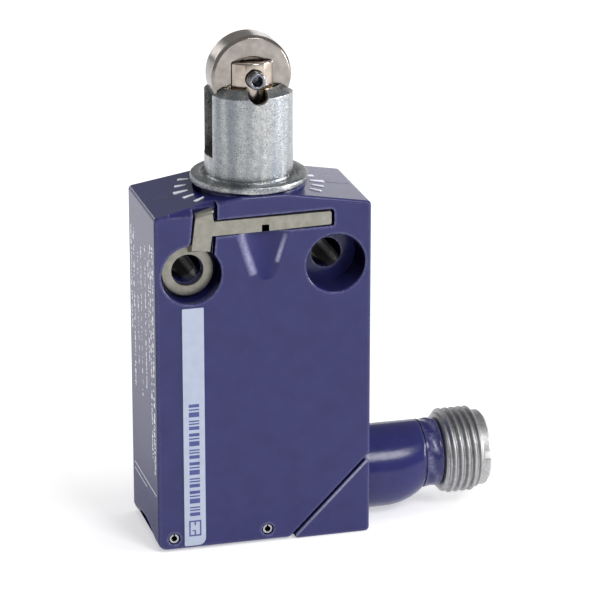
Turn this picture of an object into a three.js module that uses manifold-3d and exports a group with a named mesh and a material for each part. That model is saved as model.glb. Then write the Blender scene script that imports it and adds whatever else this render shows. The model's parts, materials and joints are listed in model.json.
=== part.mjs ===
// Miniature metal limit switch with a steel roller plunger head and an M12 side connector.
// Millimetres. +X points along the connector, the front face looks along -Y, +Z is up.
// The origin is the middle of the underside.
import * as THREE from "three";
import { mergeVertices } from "three/addons/utils/BufferGeometryUtils.js";
import Module from "manifold-3d";

const wasm = await Module();
wasm.setup();

// Housing
const HALF_WIDTH = 15;
const HALF_DEPTH = 8;
const ROOF_TOP = 50;
const ROOF_EAVE = 48;
const ROOF_FLAT = 3;
const SKIRT = 0.3;
const EDGE = 0.35;
const CORNER = 0.5;
const FOOT_RADIUS = 1.2;
const CAVITY = { halfWidth: 12.7, halfDepth: 5.9, top: 33.8 };
const THROAT = { halfWidth: 5, halfDepth: 5.6, top: 44.1 };
const REBATE = { halfWidth: 13.4, halfDepth: 6.6, top: 4.6 };
const SPLIT_WALL = 1.5;
const PASSAGE = { left: 2, halfDepth: 4, base: 3.5, top: 12.3 };
const HEAD_BOSS = { radius: 7.7, base: 45 };
const FOOT_ARCH = { radius: 13.25, depth: 1.2, rise: 2 };
const INDEX_LINE = { x: 12, length: 3.6, width: 0.25, height: 0.3 };

// Split plane between the housing and the corner of the base cover: X minus Z is constant
const SPLIT = 3.5;
const SPLIT_GAP = 0.4;

// Fixing holes
const HOLE = { x: 10, z: 39.7, radius: 2.1, seatRadius: 4.1, seatRight: 5, seatLeft: 3.6 };

// Head
const SLEEVE = { radius: 6, coneBase: 62.7, top: 63.6, rimRadius: 4.6, bore: 4.3, boreBase: 49.5 };
const FLANGE = { radius: 8, base: 50.1, top: 51.2, grooveRadius: 6.6, grooveDepth: 0.25 };
const NECK = { radius: 5.5, base: 44.2, bore: 3.6, floor: 45.1, hole: 1.8 };
const LOCK_GROOVE = { radius: 4.6, base: 45, top: 47 };
const SEAL_GROOVE = { radius: 4.85, base: 47.9, top: 48.9 };
const ROLLER_SLOT = { width: 4.5, base: 54 };
const AXLE_GROOVE = { halfWidth: 1.35, reach: 5.25, base: 58.3 };
const RIM_NOTCH = { radius: 1.35, z: 63.25 };
const BUSH = { inner: 3.8, outer: 4.2, base: 53, top: 63.4 };
const SEAL = { inner: 3.75, outer: 4.15, base: 50.6, top: 52.6 };
const O_RING = { radius: 5.27, wire: 0.3, z: 48.4 };

// Plunger and roller
const PLUNGER = { radius: 3.6, shoulder: 55, top: 67, slotWidth: 4.5, slotBase: 58.7 };
const STEM = { radius: 1.5, tip: 41, grooveRadius: 1.1, grooveBase: 43.3, grooveTop: 44 };
const ROLLER = { radius: 5.5, width: 4, z: 64.9, bore: 1.4, edge: 0.35 };
const AXLE = { radius: 1.2, bore: 0.6, halfLength: 5, boreDepth: 1.6, chamfer: 0.25 };
const RETAINER = { outer: 2.5, thickness: 0.4, gap: 0.8 };
const RETURN_SPRING = { radius: 2.6, wire: 0.3, turns: 6 };
const SPRING_SEAT = 0.05;

// Locking clip
const CLIP = { thickness: 0.7, front: -7.95, ringFront: -5.6, ringOuter: 3.6, ringInner: 2.2 };
const STRIP = { left: -6.8, right: 9.4, base: 45, top: 47 };
const STRIP_NOTCH = { left: -0.2, right: 0.67, top: 45.9 };
const ARM = [[-9.95, 43.2], [-7.4, 42.8], [-6.75, 47.1], [-7.1, 48.7], [-9.3, 48.2]];
const LIP = [[-9.35, 47.95], [-7.1, 48.45], [-7.2, 49.1], [-9.45, 48.6]];
const LIP_REACH = 0.9;
const SHOULDER = [[-12.3, 41.3], [-9, 42], [-9, 42.75], [-11.3, 42.75]];
const JOGGLE = [[-9.95, 42.2], [-7.4, 41.9], [-7.4, 43.4], [-9.95, 43.9]];
const PRONG = { inner: 4.9, outer: 5.7, tip: 2, base: 45.35, top: 46.65, clearance: 0.3 };
const ARM_CHANNEL = [[-10.35, 41.5], [-6.9, 41.5], [-6.4, 47.5], [-6.4, 51], [-9.65, 51], [-9.65, 48.3]];
const RING_WAY = [[-12.3, 40.5], [-7, 39], [-6.9, 44.2], [-10.2, 44.2], [-10.3, 43.4], [-12.3, 43.4]];
const BEVEL = { left: -13.2, right: -6.4, taper: 1, reach: 6, lead: 1.2, z: 47, degrees: 38 };
const SCOOP = { away: 4.8, base: 37, baseRadius: 4.7, top: 45.6, topRadius: 6 };

// Contact block
const BLOCK = { halfWidth: 9.5, base: 15, top: 33, front: -3.9, back: 5.4 };
const POCKET = { halfWidth: 6.8, base: 17.5, top: 31, back: 3.9 };
const PUSHER = { half: 1.6, base: 25, top: 40.7, window: 1.1, upper: [27.9, 29.9], lower: [25.8, 27.5] };
const BRIDGE = { halfLength: 5.6, halfWidth: 0.9, thickness: 0.4, upper: 29.3, lower: 26 };
const FIXED = { inner: 3.9, outer: 11, halfWidth: 1.2, thickness: 0.4, closed: 29.85, open: 20.1 };
const BUTTON = { radius: 0.6, height: 0.2, sunk: 0.1 };
const SCREW = { x: 8.1, z: 24, radius: 0.6, hole: 0.8, head: 1.1, headHeight: 0.7, driver: 0.15 };
const LID = { thickness: 0.7, gap: 0.2, margin: 0.3, windowHalf: 2, windowBase: 19, windowTop: 23 };
const PUSHER_SPRING = { radius: 1.2, wire: 0.15, turns: 6 };
const BRIDGE_SPRING = { radius: 0.6, wire: 0.12, upperBase: 28, lowerTop: 27.4 };

// Connector
const PORT_Z = 7.6;
const BOSS = { radius: 5.9, z: 6.5, straightEnd: 18.5, end: 24.3 };
const SNOUT = { radius: 4.85, end: 26.9, bore: 3.6, socket: 4.4, socketStart: 24.4 };
const THREAD = { major: 6, minor: 5.45, pitch: 1, start: 27.2, crests: 5 };
const SHELL = { spigot: 4.1, start: 24.7, rim: 5.35, end: 33.6, bore: 4.9, boreStart: 27.8, throat: 3.5 };
const KEYWAY = { depth: 0.9, low: 0.05, high: 1.35 };
const CARRIER = { outer: 4.7, inner: 4.2, start: 28.1, floor: 29.5, end: 34.2, hub: 3.2, hubStart: 26.2 };
const PIN = { radius: 0.5, circle: 2.8, start: 25.9, end: 33.1, clearance: 0.15 };
const WIRE_RADIUS = 0.45;

// Base cover, roll pins and label
const COVER = { halfWidth: 13.1, halfDepth: 6.3, top: 3.4 };
const ROLL_PINS = { left: -12.8, right: 0.4, z: 1.9, radius: 0.7, bore: 0.4, hole: 0.82, halfLength: 7.85 };
const LABEL = { left: -11.4, right: -8.4, base: 0.7, top: 35.1, thickness: 0.12 };
const GASKET = { right: 2.6, border: 1.3, halfOpening: 5 };
const BIG = 60;

// Solids -------------------------------------------------------------------------------------

// A closed geometry as a solid with its faces pointing out.
function solid(geometry) {
  const source = geometry.index ? geometry.toNonIndexed() : geometry;
  const bare = new THREE.BufferGeometry();
  bare.setAttribute("position", source.getAttribute("position"));
  const merged = mergeVertices(bare, 1e-4);
  const corners = [];
  for (let i = 0; i < merged.index.count; i += 3) {
    const [a, b, c] = [0, 1, 2].map((k) => merged.index.getX(i + k));
    if (a !== b && b !== c && c !== a) corners.push(a, b, c);
  }
  const build = (order) =>
    new wasm.Manifold(
      new wasm.Mesh({
        numProp: 3,
        vertProperties: Float32Array.from(merged.attributes.position.array),
        triVerts: Uint32Array.from(order),
      }),
    );
  const made = build(corners);
  return made.volume() < 0 ? build(corners.reverse()) : made;
}

function joined(...parts) {
  return parts.reduce((sum, part) => sum.add(part));
}

function ordered(a, b) {
  return [Math.min(a, b), Math.max(a, b)];
}

function cut(whole, ...tools) {
  return tools.reduce((rest, tool) => rest.subtract(tool), whole);
}

function box(x0, x1, y0, y1, z0, z1) {
  const geometry = new THREE.BoxGeometry(x1 - x0, y1 - y0, z1 - z0);
  geometry.translate((x0 + x1) / 2, (y0 + y1) / 2, (z0 + z1) / 2);
  return solid(geometry);
}

// Turns a geometry made round +Y so that it stands round +X, +Y or +Z.
function aimed(geometry, axis) {
  if (axis === "x") geometry.rotateZ(-Math.PI / 2);
  if (axis === "z") geometry.rotateX(Math.PI / 2);
  return geometry;
}

// A turned solid: the profile is a list of [radius, place along the axis].
function turned(profile, axis = "z", segments = 32, at = [0, 0, 0]) {
  const outline = profile.map(([radius, along]) => new THREE.Vector2(radius, along));
  const geometry = aimed(new THREE.LatheGeometry(outline, segments), axis);
  return solid(geometry.translate(...at));
}

function rod(radius, from, to, axis, at = [0, 0, 0], segments = 24) {
  return turned([[0, from], [radius, from], [radius, to], [0, to]], axis, segments, at);
}

function ring(inner, outer, from, to, axis, at = [0, 0, 0], segments = 32) {
  const profile = [[inner, from], [outer, from], [outer, to], [inner, to], [inner, from]];
  return turned(profile, axis, segments, at);
}

// A prism of an outline in X and Z, from y0 to y1, with its front and back edges rounded by edge.
function plate(points, y0, y1, edge = 0) {
  const shape = points instanceof THREE.Shape ? points : new THREE.Shape(points.map(vector2));
  const geometry = new THREE.ExtrudeGeometry(shape, {
    depth: y1 - y0 - 2 * edge,
    bevelEnabled: edge > 0,
    bevelSize: edge,
    bevelThickness: edge,
    bevelOffset: -edge,
    bevelSegments: 2,
  });
  return solid(geometry.rotateX(Math.PI / 2).translate(0, y1 - edge, 0));
}

function vector2([x, y]) {
  return new THREE.Vector2(x, y);
}

// An outline whose corners are rounded by arcs: each corner is [x, z, radius].
function rounded(corners) {
  const steps = 3;
  const points = corners.flatMap(([x, z, radius], i) => {
    const corner = new THREE.Vector2(x, z);
    const before = vector2(corners.at(i - 1)).sub(corner).normalize();
    const after = vector2(corners[(i + 1) % corners.length]).sub(corner).normalize();
    const half = Math.acos(before.dot(after)) / 2;
    const bisector = before.clone().add(after).setLength(radius / Math.sin(half));
    const centre = corner.clone().add(bisector);
    const start = before.setLength(radius / Math.tan(half)).add(corner).sub(centre);
    const end = after.setLength(radius / Math.tan(half)).add(corner).sub(centre);
    const sweep = Math.atan2(start.cross(end), start.dot(end));
    return Array.from({ length: steps + 1 }, (_, k) =>
      start.clone().rotateAround(new THREE.Vector2(), (sweep * k) / steps).add(centre),
    );
  });
  return new THREE.Shape(points);
}

// A closed skin over rings of equally many points, with a flat cap at each end.
function loft(rings) {
  const count = rings[0].length;
  const faces = [];
  const middle = (points) =>
    points.reduce((sum, p) => sum.add(p), new THREE.Vector3()).divideScalar(points.length);
  rings.slice(1).forEach((next, k) => {
    const last = rings[k];
    for (let i = 0; i < count; i++) {
      const j = (i + 1) % count;
      faces.push(last[i], last[j], next[j], last[i], next[j], next[i]);
    }
  });
  const first = rings[0];
  const end = rings.at(-1);
  for (let i = 0; i < count; i++) {
    const j = (i + 1) % count;
    faces.push(middle(first), first[j], first[i]);
    faces.push(middle(end), end[i], end[j]);
  }
  return solid(new THREE.BufferGeometry().setFromPoints(faces));
}

// A round bar of the given radius along a curve.
function along(curve, radius, steps, sides = 8) {
  const section = new THREE.Shape(
    Array.from({ length: sides }, (_, i) => {
      const turn = (i / sides) * 2 * Math.PI;
      return new THREE.Vector2(radius * Math.cos(turn), radius * Math.sin(turn));
    }),
  );
  const options = { steps, extrudePath: curve, bevelEnabled: false };
  return solid(new THREE.ExtrudeGeometry(section, options));
}

class Helix extends THREE.Curve {
  constructor(radius, base, top, turns) {
    super();
    Object.assign(this, { radius, base, top, turns });
  }
  getPoint(t, target = new THREE.Vector3()) {
    const turn = t * this.turns * 2 * Math.PI;
    const height = this.base + t * (this.top - this.base);
    return target.set(this.radius * Math.cos(turn), this.radius * Math.sin(turn), height);
  }
}

// A coil spring between two heights, round the Z axis.
function coil(radius, wire, base, top, turns, sides = 4) {
  return along(new Helix(radius, base + wire, top - wire, turns), wire, turns * 10, sides);
}

// Materials ----------------------------------------------------------------------------------

function finish(color, roughness, metalness) {
  return () => new THREE.MeshStandardMaterial({ color, roughness, metalness });
}

const violetPaint = finish(0x42417a, 0.42, 0.1);
const zincPlate = finish(0xb9bdbd, 0.38, 0.9);
const rollerSteel = finish(0xc2b8ae, 0.28, 0.95);
const bronze = finish(0xa98a5c, 0.35, 0.9);
const plungerSteel = finish(0xb5a690, 0.3, 0.95);
const clipSteel = finish(0xaaa48f, 0.45, 0.85);
const darkSteel = finish(0x56595c, 0.4, 0.9);
const springSteel = finish(0x9a9da0, 0.3, 0.95);
const nickelBrass = finish(0x9b9a96, 0.35, 0.95);
const goldPlate = finish(0xd6a94a, 0.25, 1);
const copperAlloy = finish(0xb87a4b, 0.35, 0.95);
const blackRubber = finish(0x1b1b1d, 0.8, 0);
const darkPlastic = finish(0x2b2d31, 0.6, 0);
const palePlastic = finish(0xe4e2dc, 0.5, 0);
const pusherPlastic = finish(0xb8482f, 0.5, 0);
const labelFilm = finish(0xc9d2ea, 0.5, 0);

// Housing ------------------------------------------------------------------------------------

function housingOutline() {
  const splitX = SPLIT - SPLIT_GAP / 2;
  return rounded([
    [-HALF_WIDTH, SKIRT, FOOT_RADIUS],
    [splitX + SKIRT, SKIRT, CORNER],
    [HALF_WIDTH, HALF_WIDTH - splitX, CORNER],
    [HALF_WIDTH, ROOF_EAVE, CORNER],
    [ROOF_FLAT, ROOF_TOP, CORNER],
    [-ROOF_FLAT, ROOF_TOP, CORNER],
    [-HALF_WIDTH, ROOF_EAVE, CORNER],
  ]);
}

function cavity() {
  const inner = SPLIT - SPLIT_GAP / 2 - SPLIT_WALL * Math.SQRT2;
  const { halfWidth, halfDepth, top } = CAVITY;
  const main = plate(
    [
      [-halfWidth, -1],
      [inner - 1, -1],
      [halfWidth, halfWidth - inner],
      [halfWidth, top],
      [-halfWidth, top],
    ],
    -halfDepth,
    halfDepth,
  );
  const { halfWidth: across, halfDepth: deep } = THROAT;
  const throat = box(-across, across, -deep, deep, top - 4, THROAT.top);
  const rebateRight = SPLIT + COVER.top + 3;
  const rebate = box(-REBATE.halfWidth, rebateRight, -REBATE.halfDepth, REBATE.halfDepth, -1, REBATE.top);
  const side = PASSAGE.halfDepth;
  const passage = box(PASSAGE.left, HALF_WIDTH + 1, -side, side, PASSAGE.base, PASSAGE.top);
  return joined(main, throat, rebate, passage);
}

function fixingHole(side, seatDepth) {
  const at = [side * HOLE.x, 0, HOLE.z];
  const through = rod(HOLE.radius, -HALF_DEPTH - 1, HALF_DEPTH + 1, "y", at, 24);
  const seat = rod(HOLE.seatRadius, -HALF_DEPTH - 1, -HALF_DEPTH + seatDepth, "y", at, 32);
  return joined(through, seat);
}

// Slot, arm channel and prong channels that hold the locking clip.
function clipRecess() {
  const depth = CLIP.thickness + 0.35;
  const front = -HALF_DEPTH - 1;
  const floor = -HALF_DEPTH + depth;
  const slot = plate(
    [
      [STRIP.left - 0.4, STRIP.base - 0.15],
      [STRIP.right + 0.35, STRIP.base],
      [STRIP.right + 0.35, STRIP.top + 0.45],
      [STRIP.left - 0.4, STRIP.top + 0.2],
    ],
    front,
    floor,
  );
  const armChannel = plate(ARM_CHANNEL, front, floor);
  const ringWay = plate(RING_WAY, front, -HALF_DEPTH + HOLE.seatLeft);
  const { inner, outer, tip, base, top, clearance } = PRONG;
  const channels = [-1, 1].map((side) => {
    const [x0, x1] = ordered(side * (inner - clearance), side * (outer + clearance));
    return box(x0, x1, floor - 1, tip + clearance, base - clearance, top + clearance);
  });
  return joined(slot, armChannel, ringWay, ...channels);
}

// Finger bevel behind the lip of the clip: a slanted cut along the left of the front roof edge.
function fingerBevel() {
  const { left, right, taper, reach, lead, z, degrees } = BEVEL;
  const wedge = new THREE.Shape([[left, 0], [right, 0], [right, reach], [left + taper, reach]].map(vector2));
  const geometry = new THREE.ExtrudeGeometry(wedge, { depth: reach, bevelEnabled: false });
  geometry.rotateX(THREE.MathUtils.degToRad(degrees));
  geometry.translate(0, -HALF_DEPTH - lead, z);
  return solid(geometry);
}

// Shallow half-cone below the strip where a screwdriver tip goes in.
function scoop() {
  const { away, base, baseRadius, top, topRadius } = SCOOP;
  const profile = [[0, base], [baseRadius, base], [topRadius, top], [0, top]];
  return turned(profile, "z", 48, [0, -HALF_DEPTH - away, 0]);
}

// Engraved index line on each slope of the roof.
function indexLine(side) {
  const slope = Math.atan2(ROOF_TOP - ROOF_EAVE, HALF_WIDTH - ROOF_FLAT);
  const { length, width, height } = INDEX_LINE;
  const geometry = new THREE.BoxGeometry(length, width, height);
  geometry.rotateY(side * slope);
  const x = side * INDEX_LINE.x;
  const z = ROOF_TOP - (Math.abs(x) - ROOF_FLAT) * Math.tan(slope);
  geometry.translate(x, 0, z);
  return solid(geometry);
}

function rollPinHole(x) {
  return rod(ROLL_PINS.hole, -HALF_DEPTH - 1, HALF_DEPTH + 1, "y", [x, 0, ROLL_PINS.z], 16);
}

function housing() {
  const shell = plate(housingOutline(), -HALF_DEPTH, HALF_DEPTH, EDGE);
  const boss = rod(HEAD_BOSS.radius, HEAD_BOSS.base, ROOF_TOP, "z", [0, 0, 0], 32);
  const neckBore = rod(NECK.radius + 0.2, THROAT.top - 1, ROOF_TOP + 1, "z", [0, 0, 0], 32);
  const { radius, depth, rise } = FOOT_ARCH;
  const footArch = rod(radius, -HALF_WIDTH - 1, depth - HALF_WIDTH, "x", [0, 0, SKIRT + rise - radius], 48);
  return cut(
    joined(shell, boss),
    cavity(),
    neckBore,
    fixingHole(-1, HOLE.seatLeft),
    fixingHole(1, HOLE.seatRight),
    clipRecess(),
    fingerBevel(),
    scoop(),
    indexLine(-1),
    indexLine(1),
    rollPinHole(ROLL_PINS.left),
    rollPinHole(ROLL_PINS.right),
    footArch,
  );
}

// Base cover ---------------------------------------------------------------------------------

// Circle across X whose top stays level while its underside rises towards the connector.
function bossRing(x, segments) {
  const t = Math.max(0, (x - BOSS.straightEnd) / (BOSS.end - BOSS.straightEnd));
  const top = BOSS.z + BOSS.radius;
  const low = BOSS.z - BOSS.radius;
  const base = low + (PORT_Z - SNOUT.radius - low - 0.15) * t ** 2.4;
  const radius = (top - base) / 2;
  return Array.from({ length: segments }, (_, i) => {
    const turn = (i / segments) * 2 * Math.PI;
    return new THREE.Vector3(x, radius * Math.cos(turn), top - radius + radius * Math.sin(turn));
  });
}

function bossBody() {
  const stations = [HALF_WIDTH - 2, BOSS.straightEnd];
  const run = BOSS.end - BOSS.straightEnd;
  for (let k = 1; k <= 5; k++) stations.push(BOSS.straightEnd + (run * k) / 5);
  return loft(stations.map((x) => bossRing(x, 28)));
}

function baseCover() {
  const splitX = SPLIT + SPLIT_GAP / 2;
  const corner = plate(
    rounded([[splitX, 0, CORNER], [HALF_WIDTH, 0, CORNER], [HALF_WIDTH, HALF_WIDTH - splitX, CORNER]]),
    -HALF_DEPTH,
    HALF_DEPTH,
    EDGE,
  );
  const { halfWidth, halfDepth, top } = COVER;
  const tongue = box(-halfWidth, splitX + top - 0.2, -halfDepth, halfDepth, 0, top);
  const snout = rod(SNOUT.radius, HALF_WIDTH - 2, SNOUT.end, "x", [0, 0, PORT_Z], 28);
  const clear = HALF_WIDTH + SPLIT_GAP / 2;
  const above = plate([[splitX - 5, -5], [clear, clear - splitX], [clear, 20], [-5, 20]], -BIG, BIG);
  const port = cut(joined(bossBody(), snout), above);
  const bore = rod(SNOUT.bore, 0, SNOUT.end + 1, "x", [0, 0, PORT_Z], 24);
  const socket = rod(SNOUT.socket, SNOUT.socketStart, SNOUT.end + 1, "x", [0, 0, PORT_Z], 28);
  return cut(
    joined(corner, tongue, port),
    bore,
    socket,
    rollPinHole(ROLL_PINS.left),
    rollPinHole(ROLL_PINS.right),
  );
}

function baseGasket() {
  const { right, border, halfOpening } = GASKET;
  const [low, high] = [COVER.top + 0.2, REBATE.top - 0.2];
  const left = -COVER.halfWidth;
  const outer = box(left, right, -COVER.halfDepth, COVER.halfDepth, low, high);
  const inner = box(left + border, right - border, -halfOpening, halfOpening, low - 1, high + 1);
  return cut(outer, inner);
}

function rollPin(x) {
  const { z, radius, bore, halfLength } = ROLL_PINS;
  const tube = ring(bore, radius, -halfLength, halfLength, "y", [x, 0, z], 16);
  return cut(tube, box(x - 0.1, x + 0.1, -BIG, BIG, z, z + 2));
}

function label() {
  const { left, right, base, top, thickness } = LABEL;
  const outline = rounded([[left, base, 0.15], [right, base, 0.9], [right, top, 0.1], [left, top, 0.1]]);
  return plate(outline, -HALF_DEPTH - thickness, -HALF_DEPTH);
}

// Locking clip -------------------------------------------------------------------------------

function lockingClip() {
  const { thickness, front, ringFront, ringOuter, ringInner } = CLIP;
  const at = [-HOLE.x, 0, HOLE.z];
  const eye = rod(ringOuter, ringFront, ringFront + thickness, "y", at, 32);
  const hole = rod(ringInner, ringFront - 1, ringFront + thickness + 1, "y", at, 24);
  const shoulder = plate(SHOULDER, ringFront, ringFront + thickness);
  const joggle = plate(JOGGLE, front, ringFront + thickness);
  const arm = plate(ARM, front, front + thickness);
  const lip = plate(LIP, front - LIP_REACH, front + thickness);
  const strip = plate(
    rounded([
      [STRIP.left - 1, STRIP.base - 0.05, 0.1],
      [STRIP.right, STRIP.base + 0.25, 0.15],
      [STRIP.right, STRIP.top + 0.15, 0.3],
      [STRIP.left - 1, STRIP.top - 0.1, 0.1],
    ]),
    front,
    front + thickness,
  );
  const { left, right, top } = STRIP_NOTCH;
  const notch = box(left, right, front - 1, front + thickness + 1, STRIP.base - 1, top);
  const prongs = [-1, 1].map((side) => {
    const [x0, x1] = ordered(side * PRONG.inner, side * PRONG.outer);
    return box(x0, x1, front + 0.3, PRONG.tip, PRONG.base, PRONG.top);
  });
  const body = joined(eye, shoulder, joggle, arm, lip, strip, ...prongs);
  return cut(body, hole, notch);
}

// Head ---------------------------------------------------------------------------------------

// Guide groove for one end of the axle, with a half-round notch through the rim in front of it.
function axleGroove(side) {
  const { halfWidth, reach, base } = AXLE_GROOVE;
  const groove = box(-halfWidth, halfWidth, ...ordered(0, side * reach), base, SLEEVE.top + 1);
  const notchEnds = ordered(0, side * (SLEEVE.radius + 1));
  return joined(groove, rod(RIM_NOTCH.radius, ...notchEnds, "y", [0, 0, RIM_NOTCH.z], 24));
}

function rollerSlot() {
  const half = ROLLER_SLOT.width / 2;
  return box(-BIG, BIG, -half, half, ROLLER_SLOT.base, SLEEVE.top + 1);
}

function headSleeve() {
  const { radius, coneBase, top, rimRadius, bore, boreBase } = SLEEVE;
  const body = turned([
    [NECK.hole, NECK.base],
    [NECK.radius, NECK.base],
    [NECK.radius, LOCK_GROOVE.base],
    [LOCK_GROOVE.radius, LOCK_GROOVE.base],
    [LOCK_GROOVE.radius, LOCK_GROOVE.top],
    [NECK.radius, LOCK_GROOVE.top],
    [NECK.radius, SEAL_GROOVE.base],
    [SEAL_GROOVE.radius, SEAL_GROOVE.base],
    [SEAL_GROOVE.radius, SEAL_GROOVE.top],
    [NECK.radius, SEAL_GROOVE.top],
    [NECK.radius, FLANGE.base],
    [FLANGE.radius - 0.2, FLANGE.base],
    [FLANGE.radius, FLANGE.base + 0.2],
    [FLANGE.radius, FLANGE.top - 0.3],
    [FLANGE.radius - 0.3, FLANGE.top],
    [FLANGE.grooveRadius, FLANGE.top],
    [FLANGE.grooveRadius, FLANGE.top - FLANGE.grooveDepth],
    [radius, FLANGE.top - FLANGE.grooveDepth],
    [radius, coneBase],
    [rimRadius, top],
    [bore, top],
    [bore, boreBase],
    [NECK.bore, boreBase],
    [NECK.bore, NECK.floor],
    [NECK.hole, NECK.floor],
    [NECK.hole, NECK.base],
  ]);
  return cut(body, rollerSlot(), axleGroove(-1), axleGroove(1));
}

function guideBush() {
  const body = ring(BUSH.inner, BUSH.outer, BUSH.base, BUSH.top, "z");
  return cut(body, rollerSlot(), axleGroove(-1), axleGroove(1));
}

function torus(radius, wire, axis, at, sides = 6, segments = 28) {
  const profile = Array.from({ length: sides + 1 }, (_, i) => {
    const turn = ((i % sides) / sides) * 2 * Math.PI;
    return [radius + wire * Math.cos(turn), wire * Math.sin(turn)];
  });
  return turned(profile, axis, segments, at);
}

// Piston, clevis and stem in one turned piece.
function plunger() {
  const body = turned([
    [0, STEM.tip],
    [STEM.radius - 0.4, STEM.tip],
    [STEM.radius, STEM.tip + 0.4],
    [STEM.radius, STEM.grooveBase],
    [STEM.grooveRadius, STEM.grooveBase],
    [STEM.grooveRadius, STEM.grooveTop],
    [STEM.radius, STEM.grooveTop],
    [STEM.radius, PLUNGER.shoulder],
    [PLUNGER.radius - 0.3, PLUNGER.shoulder],
    [PLUNGER.radius, PLUNGER.shoulder + 0.3],
    [PLUNGER.radius, PLUNGER.top - 0.15],
    [PLUNGER.radius - 0.15, PLUNGER.top],
    [0, PLUNGER.top],
  ]);
  const half = PLUNGER.slotWidth / 2;
  const clevis = box(-BIG, BIG, -half, half, PLUNGER.slotBase, PLUNGER.top + 1);
  const axleHole = rod(AXLE.radius + 0.1, -BIG, BIG, "y", [0, 0, ROLLER.z], 20);
  return cut(body, clevis, axleHole);
}

function rollerAxle() {
  const { radius, bore, halfLength, boreDepth, chamfer } = AXLE;
  const profile = [
    [0, -halfLength + boreDepth],
    [bore, -halfLength + boreDepth],
    [bore, -halfLength],
    [radius - chamfer, -halfLength],
    [radius, -halfLength + chamfer],
    [radius, halfLength - chamfer],
    [radius - chamfer, halfLength],
    [bore, halfLength],
    [bore, halfLength - boreDepth],
    [0, halfLength - boreDepth],
  ];
  return turned(profile, "y", 20, [0, 0, ROLLER.z]);
}

function roller() {
  const { radius, width, bore, edge } = ROLLER;
  const half = width / 2;
  const profile = [
    [bore, -half],
    [radius - edge, -half],
    [radius - edge * 0.3, -half + edge * 0.3],
    [radius, -half + edge],
    [radius, half - edge],
    [radius - edge * 0.3, half - edge * 0.3],
    [radius - edge, half],
    [bore, half],
    [bore, -half],
  ];
  return turned(profile, "y", 48, [0, 0, ROLLER.z]);
}

function retainingRing() {
  const { outer, thickness, gap } = RETAINER;
  const base = (STEM.grooveBase + STEM.grooveTop - thickness) / 2;
  const body = ring(STEM.grooveRadius + 0.2, outer, base, base + thickness, "z", [0, 0, 0], 20);
  return cut(body, box(-gap, gap, 0, outer + 1, base - 1, base + 1));
}

function returnSpring() {
  const { radius, wire, turns } = RETURN_SPRING;
  return coil(radius, wire, NECK.floor + SPRING_SEAT, PLUNGER.shoulder - SPRING_SEAT, turns, 5);
}

// Contact block ------------------------------------------------------------------------------

function tabSlot(side, z) {
  const ends = ordered(side * (POCKET.halfWidth - 1), side * (BLOCK.halfWidth + 1));
  const reach = FIXED.halfWidth + 0.2;
  return box(...ends, -reach, reach, z - 0.2, z + FIXED.thickness + 0.2);
}

function screwHole(side, y0, y1) {
  return rod(SCREW.hole, y0, y1, "y", [side * SCREW.x, 0, SCREW.z], 16);
}

function contactBlock() {
  const { halfWidth, front, back, base, top } = BLOCK;
  const body = box(-halfWidth, halfWidth, front, back, base, top);
  const pocket = box(-POCKET.halfWidth, POCKET.halfWidth, front - 1, POCKET.back, POCKET.base, POCKET.top);
  const guide = PUSHER.half + 0.3;
  const way = box(-guide, guide, -guide, guide, POCKET.top - 1, top + 1);
  const slots = [-1, 1].flatMap((side) => [tabSlot(side, FIXED.closed), tabSlot(side, FIXED.open)]);
  const screws = [-1, 1].map((side) => screwHole(side, front - 1, back + 1));
  return cut(body, pocket, way, ...slots, ...screws);
}

function blockLid() {
  const { halfWidth, front, base, top } = BLOCK;
  const { thickness, gap, margin, windowHalf, windowBase, windowTop } = LID;
  const back = front - gap;
  const lid = box(-halfWidth, halfWidth, back - thickness, back, base + margin, top - margin);
  const window = box(-windowHalf, windowHalf, front - 2, front + 1, windowBase, windowTop);
  return cut(lid, window, ...[-1, 1].map((side) => screwHole(side, front - 2, front + 1)));
}

function blockScrew(side) {
  const { x, z, radius, head, headHeight, driver } = SCREW;
  const seat = BLOCK.front - LID.gap - LID.thickness - 0.1;
  const shank = rod(radius, seat, BLOCK.back, "y", [side * x, 0, z], 12);
  const cap = rod(head, seat - headHeight, seat, "y", [side * x, 0, z], 20);
  return cut(joined(shank, cap), box(-BIG, BIG, seat - 2, seat - 0.4, z - driver, z + driver));
}

function fixedContact(side, z) {
  const { inner, outer, halfWidth, thickness, open } = FIXED;
  const strip = box(...ordered(side * inner, side * outer), -halfWidth, halfWidth, z, z + thickness);
  const { radius, height, sunk } = BUTTON;
  const from = z === open ? z + thickness - sunk : z - sunk;
  const button = rod(radius, from, from + height, "z", [side * (inner + 1), 0, 0], 12);
  return joined(strip, button);
}

function contactPusher() {
  const { half, base, top, window } = PUSHER;
  const body = box(-half, half, -half, half, base, top);
  const windows = [PUSHER.upper, PUSHER.lower].map((span) => box(-BIG, BIG, -window, window, ...span));
  return cut(body, ...windows);
}

function bridge(z) {
  const { halfLength, halfWidth, thickness } = BRIDGE;
  return box(-halfLength, halfLength, -halfWidth, halfWidth, z, z + thickness);
}

function bridgeSpring(base, top, turns) {
  return coil(BRIDGE_SPRING.radius, BRIDGE_SPRING.wire, base, top, turns);
}

function pusherSpring() {
  const { radius, wire, turns } = PUSHER_SPRING;
  return coil(radius, wire, POCKET.base + SPRING_SEAT, PUSHER.base - SPRING_SEAT, turns);
}

// Connector ----------------------------------------------------------------------------------

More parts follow.
